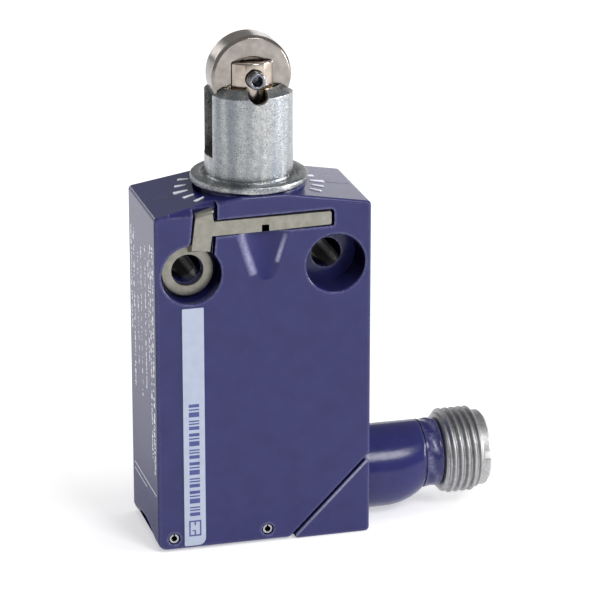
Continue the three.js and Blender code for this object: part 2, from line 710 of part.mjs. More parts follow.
function shell() {
  const { major, minor, pitch, start, crests } = THREAD;
  const { spigot, rim, end, bore, boreStart, throat } = SHELL;
  const profile = [[throat, SHELL.start], [spigot, SHELL.start], [spigot, start]];
  for (let k = 0; k < crests; k++) {
    const x = start + k * pitch;
    profile.push([minor, x], [major, x + pitch / 2]);
  }
  profile.push(
    [minor, start + crests * pitch],
    [rim, start + (crests + 0.3) * pitch],
    [rim, end - 0.3],
    [rim - 0.3, end],
    [bore, end],
    [bore, boreStart],
    [throat, boreStart],
    [throat, SHELL.start],
  );
  const body = turned(profile, "x", 32, [0, 0, PORT_Z]);
  const { depth, low, high } = KEYWAY;
  return cut(body, box(end - depth, end + 1, -major - 1, 0.4 - bore, PORT_Z + low, PORT_Z + high));
}

function pinPlaces() {
  return [0, 1, 2, 3].map((k) => {
    const turn = (k * Math.PI) / 2;
    return [0, PIN.circle * Math.sin(turn), PORT_Z + PIN.circle * Math.cos(turn)];
  });
}

function contactCarrier() {
  const { outer, inner, start, floor, end, hub, hubStart } = CARRIER;
  const profile = [
    [0, hubStart],
    [hub, hubStart],
    [hub, start],
    [outer, start],
    [outer, end - 0.15],
    [outer - 0.15, end],
    [inner, end],
    [inner, floor],
    [0, floor],
  ];
  const body = turned(profile, "x", 28, [0, 0, PORT_Z]);
  const holes = pinPlaces().map((at) => rod(PIN.radius + PIN.clearance, 20, 40, "x", at, 10));
  return cut(body, ...holes);
}

function contactPin(at) {
  const { radius, start, end } = PIN;
  const profile = [[0, start], [radius, start], [radius, end - 0.4], [radius * 0.5, end], [0, end]];
  return turned(profile, "x", 10, at);
}

// The middle line of each inner wire, from its connector pin to its contact tab.
function wirePath(k) {
  const [, y, z] = pinPlaces()[k];
  const x = FIXED.outer + 0.3 + WIRE_RADIUS;
  const closed = FIXED.closed + FIXED.thickness / 2;
  const open = FIXED.open + FIXED.thickness / 2;
  const inside = [
    [[13.5, 0, z], [11, 1.2, 11.8], [10.9, 2.4, 14.2], [x, 2.6, 18], [x, 1.6, 27], [x, 0, closed]],
    [[12.5, y, z], [7, 3.6, 9.6], [0, 4.6, 11.9], [-8, 4.4, 12.4], [-11.2, 3.4, 14.8], [-x, 2, 19],
      [-x, 1.4, 27], [-x, 0, closed]],
    [[12.5, 0, z], [8, 1, 5.6], [2, 3, 9], [-6, 3.2, 10.6], [-11, 2.6, 12.6], [-x, 1, 16.5], [-x, 0, open]],
    [[13.5, y, z + 0.2], [10.9, y, 10.5], [10.9, -2.6, 13.2], [x, -1.6, 17], [x, 0, open]],
  ];
  const points = [[PIN.start - 0.2, y, z], [20, y, z], ...inside[k]];
  return new THREE.CatmullRomCurve3(points.map((p) => new THREE.Vector3(...p)));
}

// Assembly -----------------------------------------------------------------------------------

const assembly = new THREE.Group();
const lowerSpringBase = BRIDGE.lower + BRIDGE.thickness + SPRING_SEAT;

function add(name, manifold, material) {
  const { vertProperties, triVerts } = manifold.getMesh();
  const geometry = new THREE.BufferGeometry();
  geometry.setAttribute("position", new THREE.BufferAttribute(vertProperties, 3));
  geometry.setIndex(new THREE.BufferAttribute(triVerts, 1));
  const mesh = new THREE.Mesh(geometry, material());
  mesh.name = name;
  assembly.add(mesh);
}

add("housing", housing(), violetPaint);
add("base_cover", baseCover(), violetPaint);
add("base_gasket", baseGasket(), blackRubber);
add("roll_pin_left", rollPin(ROLL_PINS.left), springSteel);
add("roll_pin_right", rollPin(ROLL_PINS.right), springSteel);
add("label", label(), labelFilm);
add("locking_clip", lockingClip(), clipSteel);

add("head_sleeve", headSleeve(), zincPlate);
add("guide_bush", guideBush(), bronze);
add("plunger_seal", ring(SEAL.inner, SEAL.outer, SEAL.base, SEAL.top, "z"), blackRubber);
add("head_o_ring", torus(O_RING.radius, O_RING.wire, "z", [0, 0, O_RING.z]), blackRubber);
add("plunger", plunger(), plungerSteel);
add("return_spring", returnSpring(), springSteel);
add("retaining_ring", retainingRing(), springSteel);
add("roller_axle", rollerAxle(), darkSteel);
add("roller", roller(), rollerSteel);

add("contact_block", contactBlock(), darkPlastic);
add("contact_block_lid", blockLid(), darkPlastic);
add("block_screw_left", blockScrew(-1), springSteel);
add("block_screw_right", blockScrew(1), springSteel);
add("closed_contact_left", fixedContact(-1, FIXED.closed), copperAlloy);
add("closed_contact_right", fixedContact(1, FIXED.closed), copperAlloy);
add("open_contact_left", fixedContact(-1, FIXED.open), copperAlloy);
add("open_contact_right", fixedContact(1, FIXED.open), copperAlloy);
add("contact_pusher", contactPusher(), pusherPlastic);
add("upper_bridge", bridge(BRIDGE.upper), copperAlloy);
add("lower_bridge", bridge(BRIDGE.lower), copperAlloy);
add("upper_bridge_spring", bridgeSpring(BRIDGE_SPRING.upperBase, BRIDGE.upper - SPRING_SEAT, 3), springSteel);
add("lower_bridge_spring", bridgeSpring(lowerSpringBase, BRIDGE_SPRING.lowerTop, 2), springSteel);
add("pusher_spring", pusherSpring(), springSteel);

add("connector_shell", shell(), nickelBrass);
add("contact_carrier", contactCarrier(), palePlastic);
pinPlaces().forEach((at, k) => {
  add("contact_pin_" + (k + 1), contactPin(at), goldPlate);
  add("inner_wire_" + (k + 1), along(wirePath(k), WIRE_RADIUS, 26, 6), darkPlastic);
});

export default assembly;
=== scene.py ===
import json
import math
import random

import bmesh
import bpy
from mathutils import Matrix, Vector


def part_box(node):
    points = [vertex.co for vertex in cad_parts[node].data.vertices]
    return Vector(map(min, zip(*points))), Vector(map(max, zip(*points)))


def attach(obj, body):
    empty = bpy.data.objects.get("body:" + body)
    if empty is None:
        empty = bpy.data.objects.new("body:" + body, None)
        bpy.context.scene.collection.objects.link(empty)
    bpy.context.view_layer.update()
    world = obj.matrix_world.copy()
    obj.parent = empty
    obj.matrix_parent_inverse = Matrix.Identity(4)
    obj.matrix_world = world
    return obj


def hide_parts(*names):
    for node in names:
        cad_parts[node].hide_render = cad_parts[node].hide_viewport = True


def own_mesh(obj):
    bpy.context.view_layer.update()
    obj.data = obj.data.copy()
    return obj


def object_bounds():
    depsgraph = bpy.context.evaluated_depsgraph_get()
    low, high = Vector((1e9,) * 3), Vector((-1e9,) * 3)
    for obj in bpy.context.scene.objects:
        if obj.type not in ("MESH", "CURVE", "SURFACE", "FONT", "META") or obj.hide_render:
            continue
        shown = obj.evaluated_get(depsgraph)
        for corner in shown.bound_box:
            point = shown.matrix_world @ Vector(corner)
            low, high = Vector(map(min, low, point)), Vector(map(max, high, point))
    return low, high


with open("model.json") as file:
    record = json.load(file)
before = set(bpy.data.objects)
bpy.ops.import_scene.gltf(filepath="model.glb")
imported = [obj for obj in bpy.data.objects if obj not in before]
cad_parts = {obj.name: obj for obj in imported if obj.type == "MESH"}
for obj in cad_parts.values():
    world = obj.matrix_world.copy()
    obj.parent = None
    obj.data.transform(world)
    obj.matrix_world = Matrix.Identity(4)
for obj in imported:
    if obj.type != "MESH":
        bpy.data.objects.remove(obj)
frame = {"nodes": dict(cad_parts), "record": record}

MM = 0.001
cad_box = [list(corner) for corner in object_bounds()]


# Sizes in millimetres, read from the frame ------------------------------------------------------

def extent(node):
    """Lowest and highest corner of a CAD node, in millimetres."""
    low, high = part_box(node)
    return low / MM, high / MM


BODY_LOW, BODY_HIGH = extent("housing")
HALF_WIDTH = BODY_HIGH.x
HALF_DEPTH = BODY_HIGH.y
FRONT = -HALF_DEPTH
SKIRT = BODY_LOW.z
ROOF_TOP = BODY_HIGH.z
ROOF_EAVE = ROOF_TOP - 2
ROOF_FLAT = 3
ROOF_SLOPE = (ROOF_TOP - ROOF_EAVE) / (HALF_WIDTH - ROOF_FLAT)
SPLIT_HOUSING = 3.3
SPLIT_COVER = 3.7

EYE_LOW = extent("locking_clip")[0]
HOLE_X = 10
HOLE_Z = EYE_LOW.z + 3.6
HOLE_RADIUS = 2.1
SEAT_RADIUS = 4.1
SEAT_LEFT = 3.6
SEAT_RIGHT = 5
BOSS_RADIUS = 7.7
CAST_EDGE = 0.4
FOOT_RADIUS = 13.25
FOOT_RISE = 2
FOOT_DEPTH = 0.5
ROLL_PINS = ("roll_pin_left", "roll_pin_right")
PIN_RADIUS = 0.7
PIN_HOLE = 0.82

CLIP_DEPTH = 1.05
CLIP_THICKNESS = 0.7
CLIP_EDGE = 0.12
EYE_INNER = 2.2
EYE_OUTER = 3.6

SLEEVE_LOW, SLEEVE_HIGH = extent("head_sleeve")
FLANGE_RADIUS = SLEEVE_HIGH.x
SLEEVE_TOP = SLEEVE_HIGH.z
NECK_BASE = SLEEVE_LOW.z
SLEEVE_RADIUS = 6.0
FLANGE_BASE = ROOF_TOP + 0.1
FLANGE_TOP = FLANGE_BASE + 1.1
SLOT_HALF = 2.25
SLOT_BASE = 54
GROOVE_HALF = 1.35
GROOVE_REACH = 5.25
GROOVE_BASE = 58.3
NOTCH_Z = 63.25

BUSH_LOW, BUSH_HIGH = extent("guide_bush")
PLUNGER_LOW, PLUNGER_HIGH = extent("plunger")
ROLLER_HIGH = extent("roller")[1]
AXLE_HIGH = extent("roller_axle")[1]
ROLLER_RADIUS = ROLLER_HIGH.x
ROLLER_Z = ROLLER_HIGH.z - ROLLER_RADIUS
AXLE_RADIUS = AXLE_HIGH.x

COVER_LOW, COVER_HIGH = extent("base_cover")
SHELL_LOW, SHELL_HIGH = extent("connector_shell")
CUP_LOW, CUP_HIGH = extent("contact_carrier")
PORT_Z = (SHELL_LOW.z + SHELL_HIGH.z) / 2
LABEL_LOW, LABEL_HIGH = extent("label")
NECK_RADIUS = 4.85
NECK_END = COVER_HIGH.x


# Outlines and profiles --------------------------------------------------------------------------

def rounded(corners, steps=5):
    """A closed outline whose corners (x, z, radius) are rounded by arcs."""
    points = []
    for i, (x, z, radius) in enumerate(corners):
        corner = Vector((x, z))
        before = (Vector(corners[i - 1][:2]) - corner).normalized()
        after = (Vector(corners[(i + 1) % len(corners)][:2]) - corner).normalized()
        half = math.acos(max(-1, min(1, before.dot(after)))) / 2
        if radius <= 0 or half > math.radians(89):
            points.append(corner)
            continue
        centre = corner + (before + after).normalized() * radius / math.sin(half)
        start = corner + before * radius / math.tan(half) - centre
        end = corner + after * radius / math.tan(half) - centre
        sweep = math.atan2(start.x * end.y - start.y * end.x, start.dot(end))
        for k in range(steps + 1):
            turn = sweep * k / steps
            c, s = math.cos(turn), math.sin(turn)
            points.append(centre + Vector((c * start.x - s * start.y, s * start.x + c * start.y)))
    return points


def eased(profile, steps=4, closed=False):
    """A profile whose corners (x, y, radius) are rounded; the ends of an open one stay sharp."""
    corners = [tuple(p) + (0,) * (3 - len(p)) for p in profile]
    if closed:
        points = rounded(corners, steps)
        return [tuple(p) for p in points + [points[0]]]
    first, last = corners[0], corners[-1]
    inner = rounded([first[:2] + (0,)] + corners[1:-1] + [last[:2] + (0,)], steps)
    return [tuple(p) for p in inner]


def inset(outline, distance):
    """Moves each side of a closed outline inwards, or outwards where distance is negative."""
    count = len(outline)
    area = sum(outline[i - 1].x * p.y - p.x * outline[i - 1].y for i, p in enumerate(outline))
    sign = 1 if area > 0 else -1
    moved = []
    for i, p in enumerate(outline):
        d1 = (p - outline[i - 1]).normalized()
        d2 = (outline[(i + 1) % count] - p).normalized()
        n1 = Vector((-d1.y, d1.x)) * sign
        n2 = Vector((-d2.y, d2.x)) * sign
        moved.append(p + (n1 + n2) * distance / max(0.3, 1 + n1.dot(n2)))
    return moved


def rim(edge, steps=4):
    """Inset and depth of each step of a rounded rim."""
    turns = [math.pi / 2 * k / steps for k in range(steps + 1)]
    return [(edge * (1 - math.sin(t)), edge * (1 - math.cos(t))) for t in turns]


# Meshes -----------------------------------------------------------------------------------------

def made(name, points, faces):
    """A mesh object from points in millimetres, with its faces pointing out."""
    mesh = bpy.data.meshes.new(name)
    mesh.from_pydata([Vector(p) * MM for p in points], [], faces)
    bm = bmesh.new()
    bm.from_mesh(mesh)
    bmesh.ops.recalc_face_normals(bm, faces=bm.faces)
    bm.to_mesh(mesh)
    bm.free()
    piece = bpy.data.objects.new(name, mesh)
    bpy.context.scene.collection.objects.link(piece)
    return piece


def skinned(name, rings, closed=False):
    """A skin over rings of points; a ring of one point is a pole."""
    points, indexes, faces = [], [], []
    for ring in rings:
        indexes.append(range(len(points), len(points) + len(ring)))
        points += ring
    pairs = list(zip(indexes, indexes[1:]))
    if closed:
        pairs.append((indexes[-1], indexes[0]))
    for a, b in pairs:
        count = max(len(a), len(b))
        for i in range(count if count > 1 else 0):
            j = (i + 1) % count
            quad = [a[i % len(a)], a[j % len(a)], b[j % len(b)], b[i % len(b)]]
            faces.append(list(dict.fromkeys(quad)))
    if not closed:
        faces += [list(end) for end in (indexes[0], indexes[-1]) if len(end) > 2]
    return made(name, points, faces)


PLACES = {
    "x": lambda c, s, along: (along, c, s),
    "y": lambda c, s, along: (c, along, s),
    "z": lambda c, s, along: (c, s, along),
}


def lathe(name, profile, axis="z", at=(0, 0, 0), segments=96):
    """A turned piece; a profile point is (radius, along), and a radius may depend on the angle."""
    closed = profile[0] == profile[-1]
    rings = []
    for radius, along in profile[:-1] if closed else profile:
        if not callable(radius) and radius < 1e-6:
            rings.append([Vector(PLACES[axis](0, 0, along)) + Vector(at)])
            continue
        ring = []
        for k in range(segments):
            turn = 2 * math.pi * k / segments
            r = radius(turn) if callable(radius) else radius
            ring.append(Vector(PLACES[axis](r * math.cos(turn), r * math.sin(turn), along)) + Vector(at))
        rings.append(ring)
    return skinned(name, rings, closed)


def slab(name, outline, levels, across=None):
    """A solid of an outline in X and Z; each level is (inset, Y)."""
    place = across or (lambda p, depth: (p.x, depth, p.y))
    return skinned(name, [[place(p, depth) for p in inset(outline, by)] for by, depth in levels])


def plate(name, outline, front, back, edge=0.0, steps=4):
    """A plate whose front and back rims are rounded by edge."""
    if edge <= 0:
        return slab(name, outline, [(0, front), (0, back)])
    levels = [(by, front + depth) for by, depth in rim(edge, steps)]
    levels += [(by, back - depth) for by, depth in reversed(rim(edge, steps))]
    return slab(name, outline, levels)


def pocket(name, outline, floor, edge):
    """A cutter that opens to the front and rounds the rim of the pocket that it makes."""
    levels = [(-edge, FRONT - 2)] + [(-by, FRONT + depth) for by, depth in rim(edge, 3)]
    return slab(name, outline, levels + [(0, floor)])


def block(name, x0, x1, y0, y1, z0, z1):
    outline = [Vector((x0, z0)), Vector((x1, z0)), Vector((x1, z1)), Vector((x0, z1))]
    return slab(name, outline, [(0, y0), (0, y1)])


def rod(name, radius, start, end, axis, at=(0, 0, 0), segments=64):
    return lathe(name, [(0, start), (radius, start), (radius, end), (0, end)], axis, at, segments)


def hole(name, radius, floor, at, edge=0.2, segments=96):
    """A cutter for a round hole that opens to the front with a rounded rim."""
    profile = [(0, FRONT - 2), (radius + edge, FRONT - 2)]
    profile += [(radius + by, FRONT + depth) for by, depth in rim(edge, 4)]
    profile += [(radius, floor), (0, floor)]
    return lathe(name, profile, "y", at, segments)


def combine(piece, others, operation):
    """Joins the others to a piece, or cuts them out of it, and removes them."""
    for other in others:
        change = piece.modifiers.new("change", "BOOLEAN")
        change.object = other
        change.operation = operation
        change.solver = "EXACT"
    bpy.context.view_layer.update()
    graph = bpy.context.evaluated_depsgraph_get()
    mesh = bpy.data.meshes.new_from_object(piece.evaluated_get(graph))
    piece.modifiers.clear()
    piece.data = mesh
    mesh.name = piece.name
    for other in others:
        bpy.data.objects.remove(other)
    return piece


def cut(piece, *tools):
    return combine(piece, tools, "DIFFERENCE")


def join(piece, *others):
    return combine(piece, others, "UNION")


def smooth(piece, degrees=32):
    """Smooth shading with sharp edges kept, weighted so that flat faces stay flat."""
    piece.data.shade_smooth()
    piece.data.set_sharp_from_angle(angle=math.radians(degrees))
    weighted = piece.modifiers.new("weighted", "WEIGHTED_NORMAL")
    weighted.keep_sharp = True
    return piece


def bevelled(piece, width, degrees=40, segments=2):
    """Breaks the sharp edges that a cut leaves."""
    bevel = piece.modifiers.new("bevel", "BEVEL")
    bevel.width = width * MM
    bevel.segments = segments
    bevel.limit_method = "ANGLE"
    bevel.angle_limit = math.radians(degrees)
    bevel.use_clamp_overlap = True
    return piece


def settle(piece, body, material, slot, *nodes):
    """Gives a piece its material and its body, and hides the CAD nodes that it replaces; slot is not used."""
    piece.data.materials.clear()
    piece.data.materials.append(material)
    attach(piece, body)
    if nodes:
        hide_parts(*nodes)


# Materials --------------------------------------------------------------------------------------

class Look:
    """A procedural material: a Principled shader with noises in millimetres of the object's space."""

    def __init__(self, name, roughness=0.4, metallic=0.0, **constants):
        self.material = bpy.data.materials.new(name)
        self.material.use_nodes = True
        self.tree = self.material.node_tree
        self.shader = self.tree.nodes["Principled BSDF"]
        self.set("Metallic", metallic)
        self.set("Roughness", roughness)
        for key, value in constants.items():
            self.set(key.replace("_", " "), value)
        coordinates = self.tree.nodes.new("ShaderNodeTexCoord")
        self.space = self.tree.nodes.new("ShaderNodeMapping")
        self.space.inputs["Scale"].default_value = (1 / MM,) * 3
        self.link(coordinates.outputs["Object"], self.space.inputs["Vector"])
        self.last_bump = None

    def set(self, socket, value):
        self.shader.inputs[socket].default_value = value

    def link(self, output, socket):
        self.tree.links.new(output, socket)

    def stretched(self, scale):
        """The space stretched along an axis, for brushed or turned marks."""
        mapping = self.tree.nodes.new("ShaderNodeMapping")
        mapping.inputs["Scale"].default_value = scale
        self.link(self.space.outputs["Vector"], mapping.inputs["Vector"])
        return mapping.outputs["Vector"]

    def noise(self, scale, detail=3.0, roughness=0.55, vector=None):
        node = self.tree.nodes.new("ShaderNodeTexNoise")
        node.inputs["Scale"].default_value = scale
        node.inputs["Detail"].default_value = detail
        node.inputs["Roughness"].default_value = roughness
        self.link(vector or self.space.outputs["Vector"], node.inputs["Vector"])
        return node.outputs["Fac"]

    def ranged(self, source, low, high, start=0.3, end=0.7):
        node = self.tree.nodes.new("ShaderNodeMapRange")
        node.inputs["From Min"].default_value = start
        node.inputs["From Max"].default_value = end
        node.inputs["To Min"].default_value = low
        node.inputs["To Max"].default_value = high
        self.link(source, node.inputs["Value"])
        return node.outputs["Result"]

    def blend(self, factor, a, b):
        """Mixes two colours, or a colour and an earlier mix, by a factor."""
        node = self.tree.nodes.new("ShaderNodeMix")
        node.data_type = "RGBA"
        self.link(factor, node.inputs["Factor"])
        for value, socket in ((a, node.inputs["A"]), (b, node.inputs["B"])):
            if isinstance(value, bpy.types.NodeSocket):
                self.link(value, socket)
            else:
                socket.default_value = (*value, 1)
        return node.outputs["Result"]

    def math(self, operation, a, b=None):
        node = self.tree.nodes.new("ShaderNodeMath")
        node.operation = operation
        for value, socket in ((a, node.inputs[0]), (b, node.inputs[1])):
            if isinstance(value, bpy.types.NodeSocket):
                self.link(value, socket)
            elif value is not None:
                socket.default_value = value
        return node.outputs["Value"]

    def axis(self, letter):
        """X, Y or Z of the space, in millimetres."""
        node = self.tree.nodes.new("ShaderNodeSeparateXYZ")
        self.link(self.space.outputs["Vector"], node.inputs["Vector"])
        return node.outputs[letter]

    def product(self, *factors):
        result = factors[0]
        for factor in factors[1:]:
            result = self.math("MULTIPLY", result, factor)
        return result

    def openness(self, reach, inside=False):
        """How open the piece is around a place; inside looks into the material instead."""
        node = self.tree.nodes.new("ShaderNodeAmbientOcclusion")
        node.inside = inside
        node.only_local = True
        node.samples = 3
        node.inputs["Distance"].default_value = reach * MM
        return node.outputs["AO"]

    def edge_highlight_and_wear(self, reach, most):
        """How far a place lies on a convex edge, broken up by noise, for painted edge highlights with some
        wear; reach is in millimetres.
        """
        edge = self.ranged(self.openness(reach, True), 1, 0, 0.35, 0.85)
        return self.product(edge, self.ranged(self.noise(2.5, 3), 0.1 * most, most))

    def corner_shade(self, reach, most):
        """How far a place lies in a corner, for painted shade there; reach is in millimetres."""
        return self.ranged(self.openness(reach), most, 0, 0.25, 0.75)

    def facing_left(self):
        """One on faces that look along -X, and nothing on the others."""
        geometry = self.tree.nodes.new("ShaderNodeNewGeometry")
        parts = self.tree.nodes.new("ShaderNodeSeparateXYZ")
        self.link(geometry.outputs["Normal"], parts.inputs["Vector"])
        return self.ranged(parts.outputs["X"], 1, 0, -0.95, -0.6)

    def highlight_line(self, start, end, width, strength):
        """A painted highlight line on the front between two places (x, z), brightest towards its end."""
        line = Vector(end) - Vector(start)
        along = line.normalized()
        middle = line.length / 2
        x = self.math("SUBTRACT", self.axis("X"), start[0])
        z = self.math("SUBTRACT", self.axis("Z"), start[1])
        run = self.math("ADD", self.product(x, along.x), self.product(z, along.y))
        aside = self.math("SUBTRACT", self.product(x, along.y), self.product(z, along.x))
        near = self.ranged(self.math("ABSOLUTE", aside), strength, 0, 0.15 * width, width)
        begins = self.ranged(run, 0.45, 1, 0, line.length * 0.6)
        from_middle = self.math("ABSOLUTE", self.math("SUBTRACT", run, middle))
        inside = self.ranged(from_middle, 1, 0, middle - 0.4, middle)
        front = self.ranged(self.axis("Y"), 1, 0, FRONT + 1.4, FRONT + 1.8)
        rough = self.ranged(self.noise(3, 2), 0.55, 1)
        return self.product(near, begins, inside, front, rough)

    def colour(self, source):
        self.link(source, self.shader.inputs["Base Color"])

    def dull(self, source):
        self.link(source, self.shader.inputs["Roughness"])

    def bump(self, height, distance, strength=1.0):
        """Adds relief of that many millimetres."""
        node = self.tree.nodes.new("ShaderNodeBump")
        node.inputs["Distance"].default_value = distance * MM
        node.inputs["Strength"].default_value = strength
        self.link(height, node.inputs["Height"])
        if self.last_bump:
            self.link(self.last_bump, node.inputs["Normal"])
        self.last_bump = node.outputs["Normal"]
        self.link(self.last_bump, self.shader.inputs["Normal"])


# Painted highlight lines on the paint: start and end (x, z), half width, strength
SCOOP_HIGHLIGHTS = (
    ((-3.3, 44.9), (-1.35, 38.9), 0.75, 0.6),
    ((3.1, 44.6), (1.75, 40.4), 0.38, 0.8),
)
PARTING_HIGHLIGHT = ((SPLIT_COVER + 0.5, 0.2), (HALF_WIDTH - 0.2, HALF_WIDTH - SPLIT_COVER - 0.5), 0.2, 0.8)
PAINT_DARK = (0.014, 0.015, 0.094)
PAINT_LIGHT = (0.019, 0.020, 0.112)
PAINT_SPECK = (0.04, 0.04, 0.15)
PAINT_EDGE_HIGHLIGHT_AND_WEAR = (0.30, 0.30, 0.48)
PAINT_SCOOP_HIGHLIGHT = (0.42, 0.42, 0.62)
PAINT_PARTING_HIGHLIGHT = (0.5, 0.5, 0.64)
PAINT_RECESS_SHADE = (0.004, 0.003, 0.016)


def violet_paint():
    """Gloss paint over a casting: painted edge highlights with some wear, painted highlight lines, dull low
    down on the left, painted shade in the holes and the foot arch.
    """
    look = Look("violet_paint")
    tone = look.ranged(look.noise(0.35, 4), 0, 1)
    speck = look.ranged(look.noise(9, 2), 0, 0.35, 0.62, 0.8)
    colour = look.blend(speck, look.blend(tone, PAINT_DARK, PAINT_LIGHT), PAINT_SPECK)
    # Convex edges lightened: painted edge highlight, with some paint wear.
    colour = look.blend(look.edge_highlight_and_wear(0.45, 0.9), colour, PAINT_EDGE_HIGHLIGHT_AND_WEAR)
    # Painted highlights along both edges of the scoop below the strip.
    for line in SCOOP_HIGHLIGHTS:
        colour = look.blend(look.highlight_line(*line), colour, PAINT_SCOOP_HIGHLIGHT)
    # Painted highlight along the edge of the cover below the parting line.
    colour = look.blend(look.highlight_line(*PARTING_HIGHLIGHT), colour, PAINT_PARTING_HIGHLIGHT)
    left = look.facing_left()
    # Painted shade: the floor of the foot arch and the back of the holes are darkened and lose their
    # reflection.
    arch_shade = look.product(left, look.ranged(look.axis("X"), 0, 1, -HALF_WIDTH + 0.15, -HALF_WIDTH + 0.4))
    hole_shade = look.product(look.corner_shade(6, 1), look.ranged(look.axis("Y"), 0, 1, FRONT + 4.8, FRONT + 6.5))
    deep = look.math("MAXIMUM", arch_shade, hole_shade)
    look.colour(look.blend(deep, colour, PAINT_RECESS_SHADE))
    low = look.product(left, look.ranged(look.axis("Z"), 0.93, 0.3, 6, 58))
    level = look.ranged(look.math("MAXIMUM", low, deep), 0.4, 0, 0, 1)
    look.link(level, look.shader.inputs["Specular IOR Level"])
    look.dull(look.ranged(look.noise(2.2, 4), 0.15, 0.25))
    look.bump(look.noise(3.2, 2), 0.014, 0.5)
    look.bump(look.noise(14, 2), 0.005, 0.5)
    return look.material


def zinc_plate():
    look = Look("zinc_plate", metallic=1.0)
    # Vertical bands of tone down the sleeve, which also stand in for painted reflection streaks.
    tone_and_reflection_bands = look.ranged(look.noise(1, 2, 0.5, look.stretched((0.55, 0.55, 0.03))), 0, 1)
    base = look.blend(tone_and_reflection_bands, (0.26, 0.285, 0.315), (0.62, 0.62, 0.61))
    patch = look.ranged(look.noise(1.3, 5, 0.7), 0, 0.6, 0.42, 0.68)
    mottled = look.blend(patch, base, (0.22, 0.24, 0.26))
    pits = look.ranged(look.noise(6.5, 3, 0.7), 0.9, 0, 0.37, 0.47)
    pitted = look.blend(pits, mottled, (0.11, 0.12, 0.13))
    flange = look.ranged(look.axis("Z"), 1, 0, FLANGE_TOP, FLANGE_TOP + 0.3)
    spots = look.product(flange, look.ranged(look.noise(4.5, 4, 0.75), 0.75, 0, 0.40, 0.50))
    spotted = look.blend(spots, pitted, (0.08, 0.085, 0.09))
    # Painted shade in the corners and creases of the plating.
    look.colour(look.blend(look.corner_shade(0.6, 0.6), spotted, (0.07, 0.075, 0.08)))
    look.dull(look.ranged(look.noise(3.5, 5, 0.7), 0.20, 0.42))
    look.bump(look.noise(6.5, 3, 0.7), 0.05, 0.7)
    look.bump(look.noise(2.0, 3), 0.05, 0.4)
    return look.material


def turned_metal(name, dark, light, roughness=(0.2, 0.34), along="y", marks=14, relief=0.004):
    """Metal with fine marks that run round the axis it was turned on."""
    look = Look(name, metallic=1.0)
    scale = {"x": (marks, 0.7, 0.7), "y": (0.7, marks, 0.7), "z": (0.7, 0.7, marks)}[along]
    lines = look.noise(1, 3, 0.6, look.stretched(scale))
    patch = look.noise(0.8, 4)
    look.colour(look.blend(look.ranged(patch, 0, 1), dark, light))
    look.dull(look.ranged(lines, *roughness))
    look.bump(lines, relief, 0.6)
    return look.material


def clip_steel():
    look = Look("clip_steel", metallic=0.85)
    patch = look.ranged(look.noise(0.9, 5, 0.6), 0, 1)
    base = look.blend(patch, (0.24, 0.23, 0.195), (0.33, 0.32, 0.28))
    look.colour(base)
    lines = look.noise(1, 2, 0.6, look.stretched((1.2, 1.2, 16)))
    look.dull(look.ranged(lines, 0.34, 0.5))
    look.bump(look.noise(6, 3), 0.01, 0.5)
    return look.material


def plated(name, dark, light, roughness=(0.25, 0.4)):
    """Plated metal with a cloudy surface."""
    look = Look(name, metallic=1.0)
    look.colour(look.blend(look.ranged(look.noise(1.4, 5, 0.6), 0, 1), dark, light))
    look.dull(look.ranged(look.noise(5, 4), *roughness))
    look.bump(look.noise(9, 3), 0.008, 0.5)
    return look.material


def moulded(name, dark, light, roughness=(0.42, 0.58), **constants):
    """Moulded plastic or rubber with a fine spark-eroded grain."""
    look = Look(name, **constants)
    look.colour(look.blend(look.ranged(look.noise(0.7, 4), 0, 1), dark, light))
    look.dull(look.ranged(look.noise(4, 3), *roughness))
    look.bump(look.noise(12, 2), 0.006, 0.5)
    return look.material


def cast_nickel():
    look = Look("nickel_brass", metallic=1.0)
    patch = look.ranged(look.noise(1.6, 5, 0.7), 0, 1, 0.4, 0.65)
    base = look.blend(patch, (0.47, 0.47, 0.475), (0.33, 0.33, 0.34))
    pits = look.ranged(look.noise(8, 3, 0.7), 0.7, 0, 0.32, 0.44)
    look.colour(look.blend(pits, base, (0.20, 0.20, 0.21)))
    look.dull(look.ranged(look.noise(4, 4), 0.36, 0.55))
    look.bump(look.noise(6, 3, 0.7), 0.035, 0.6)
    return look.material


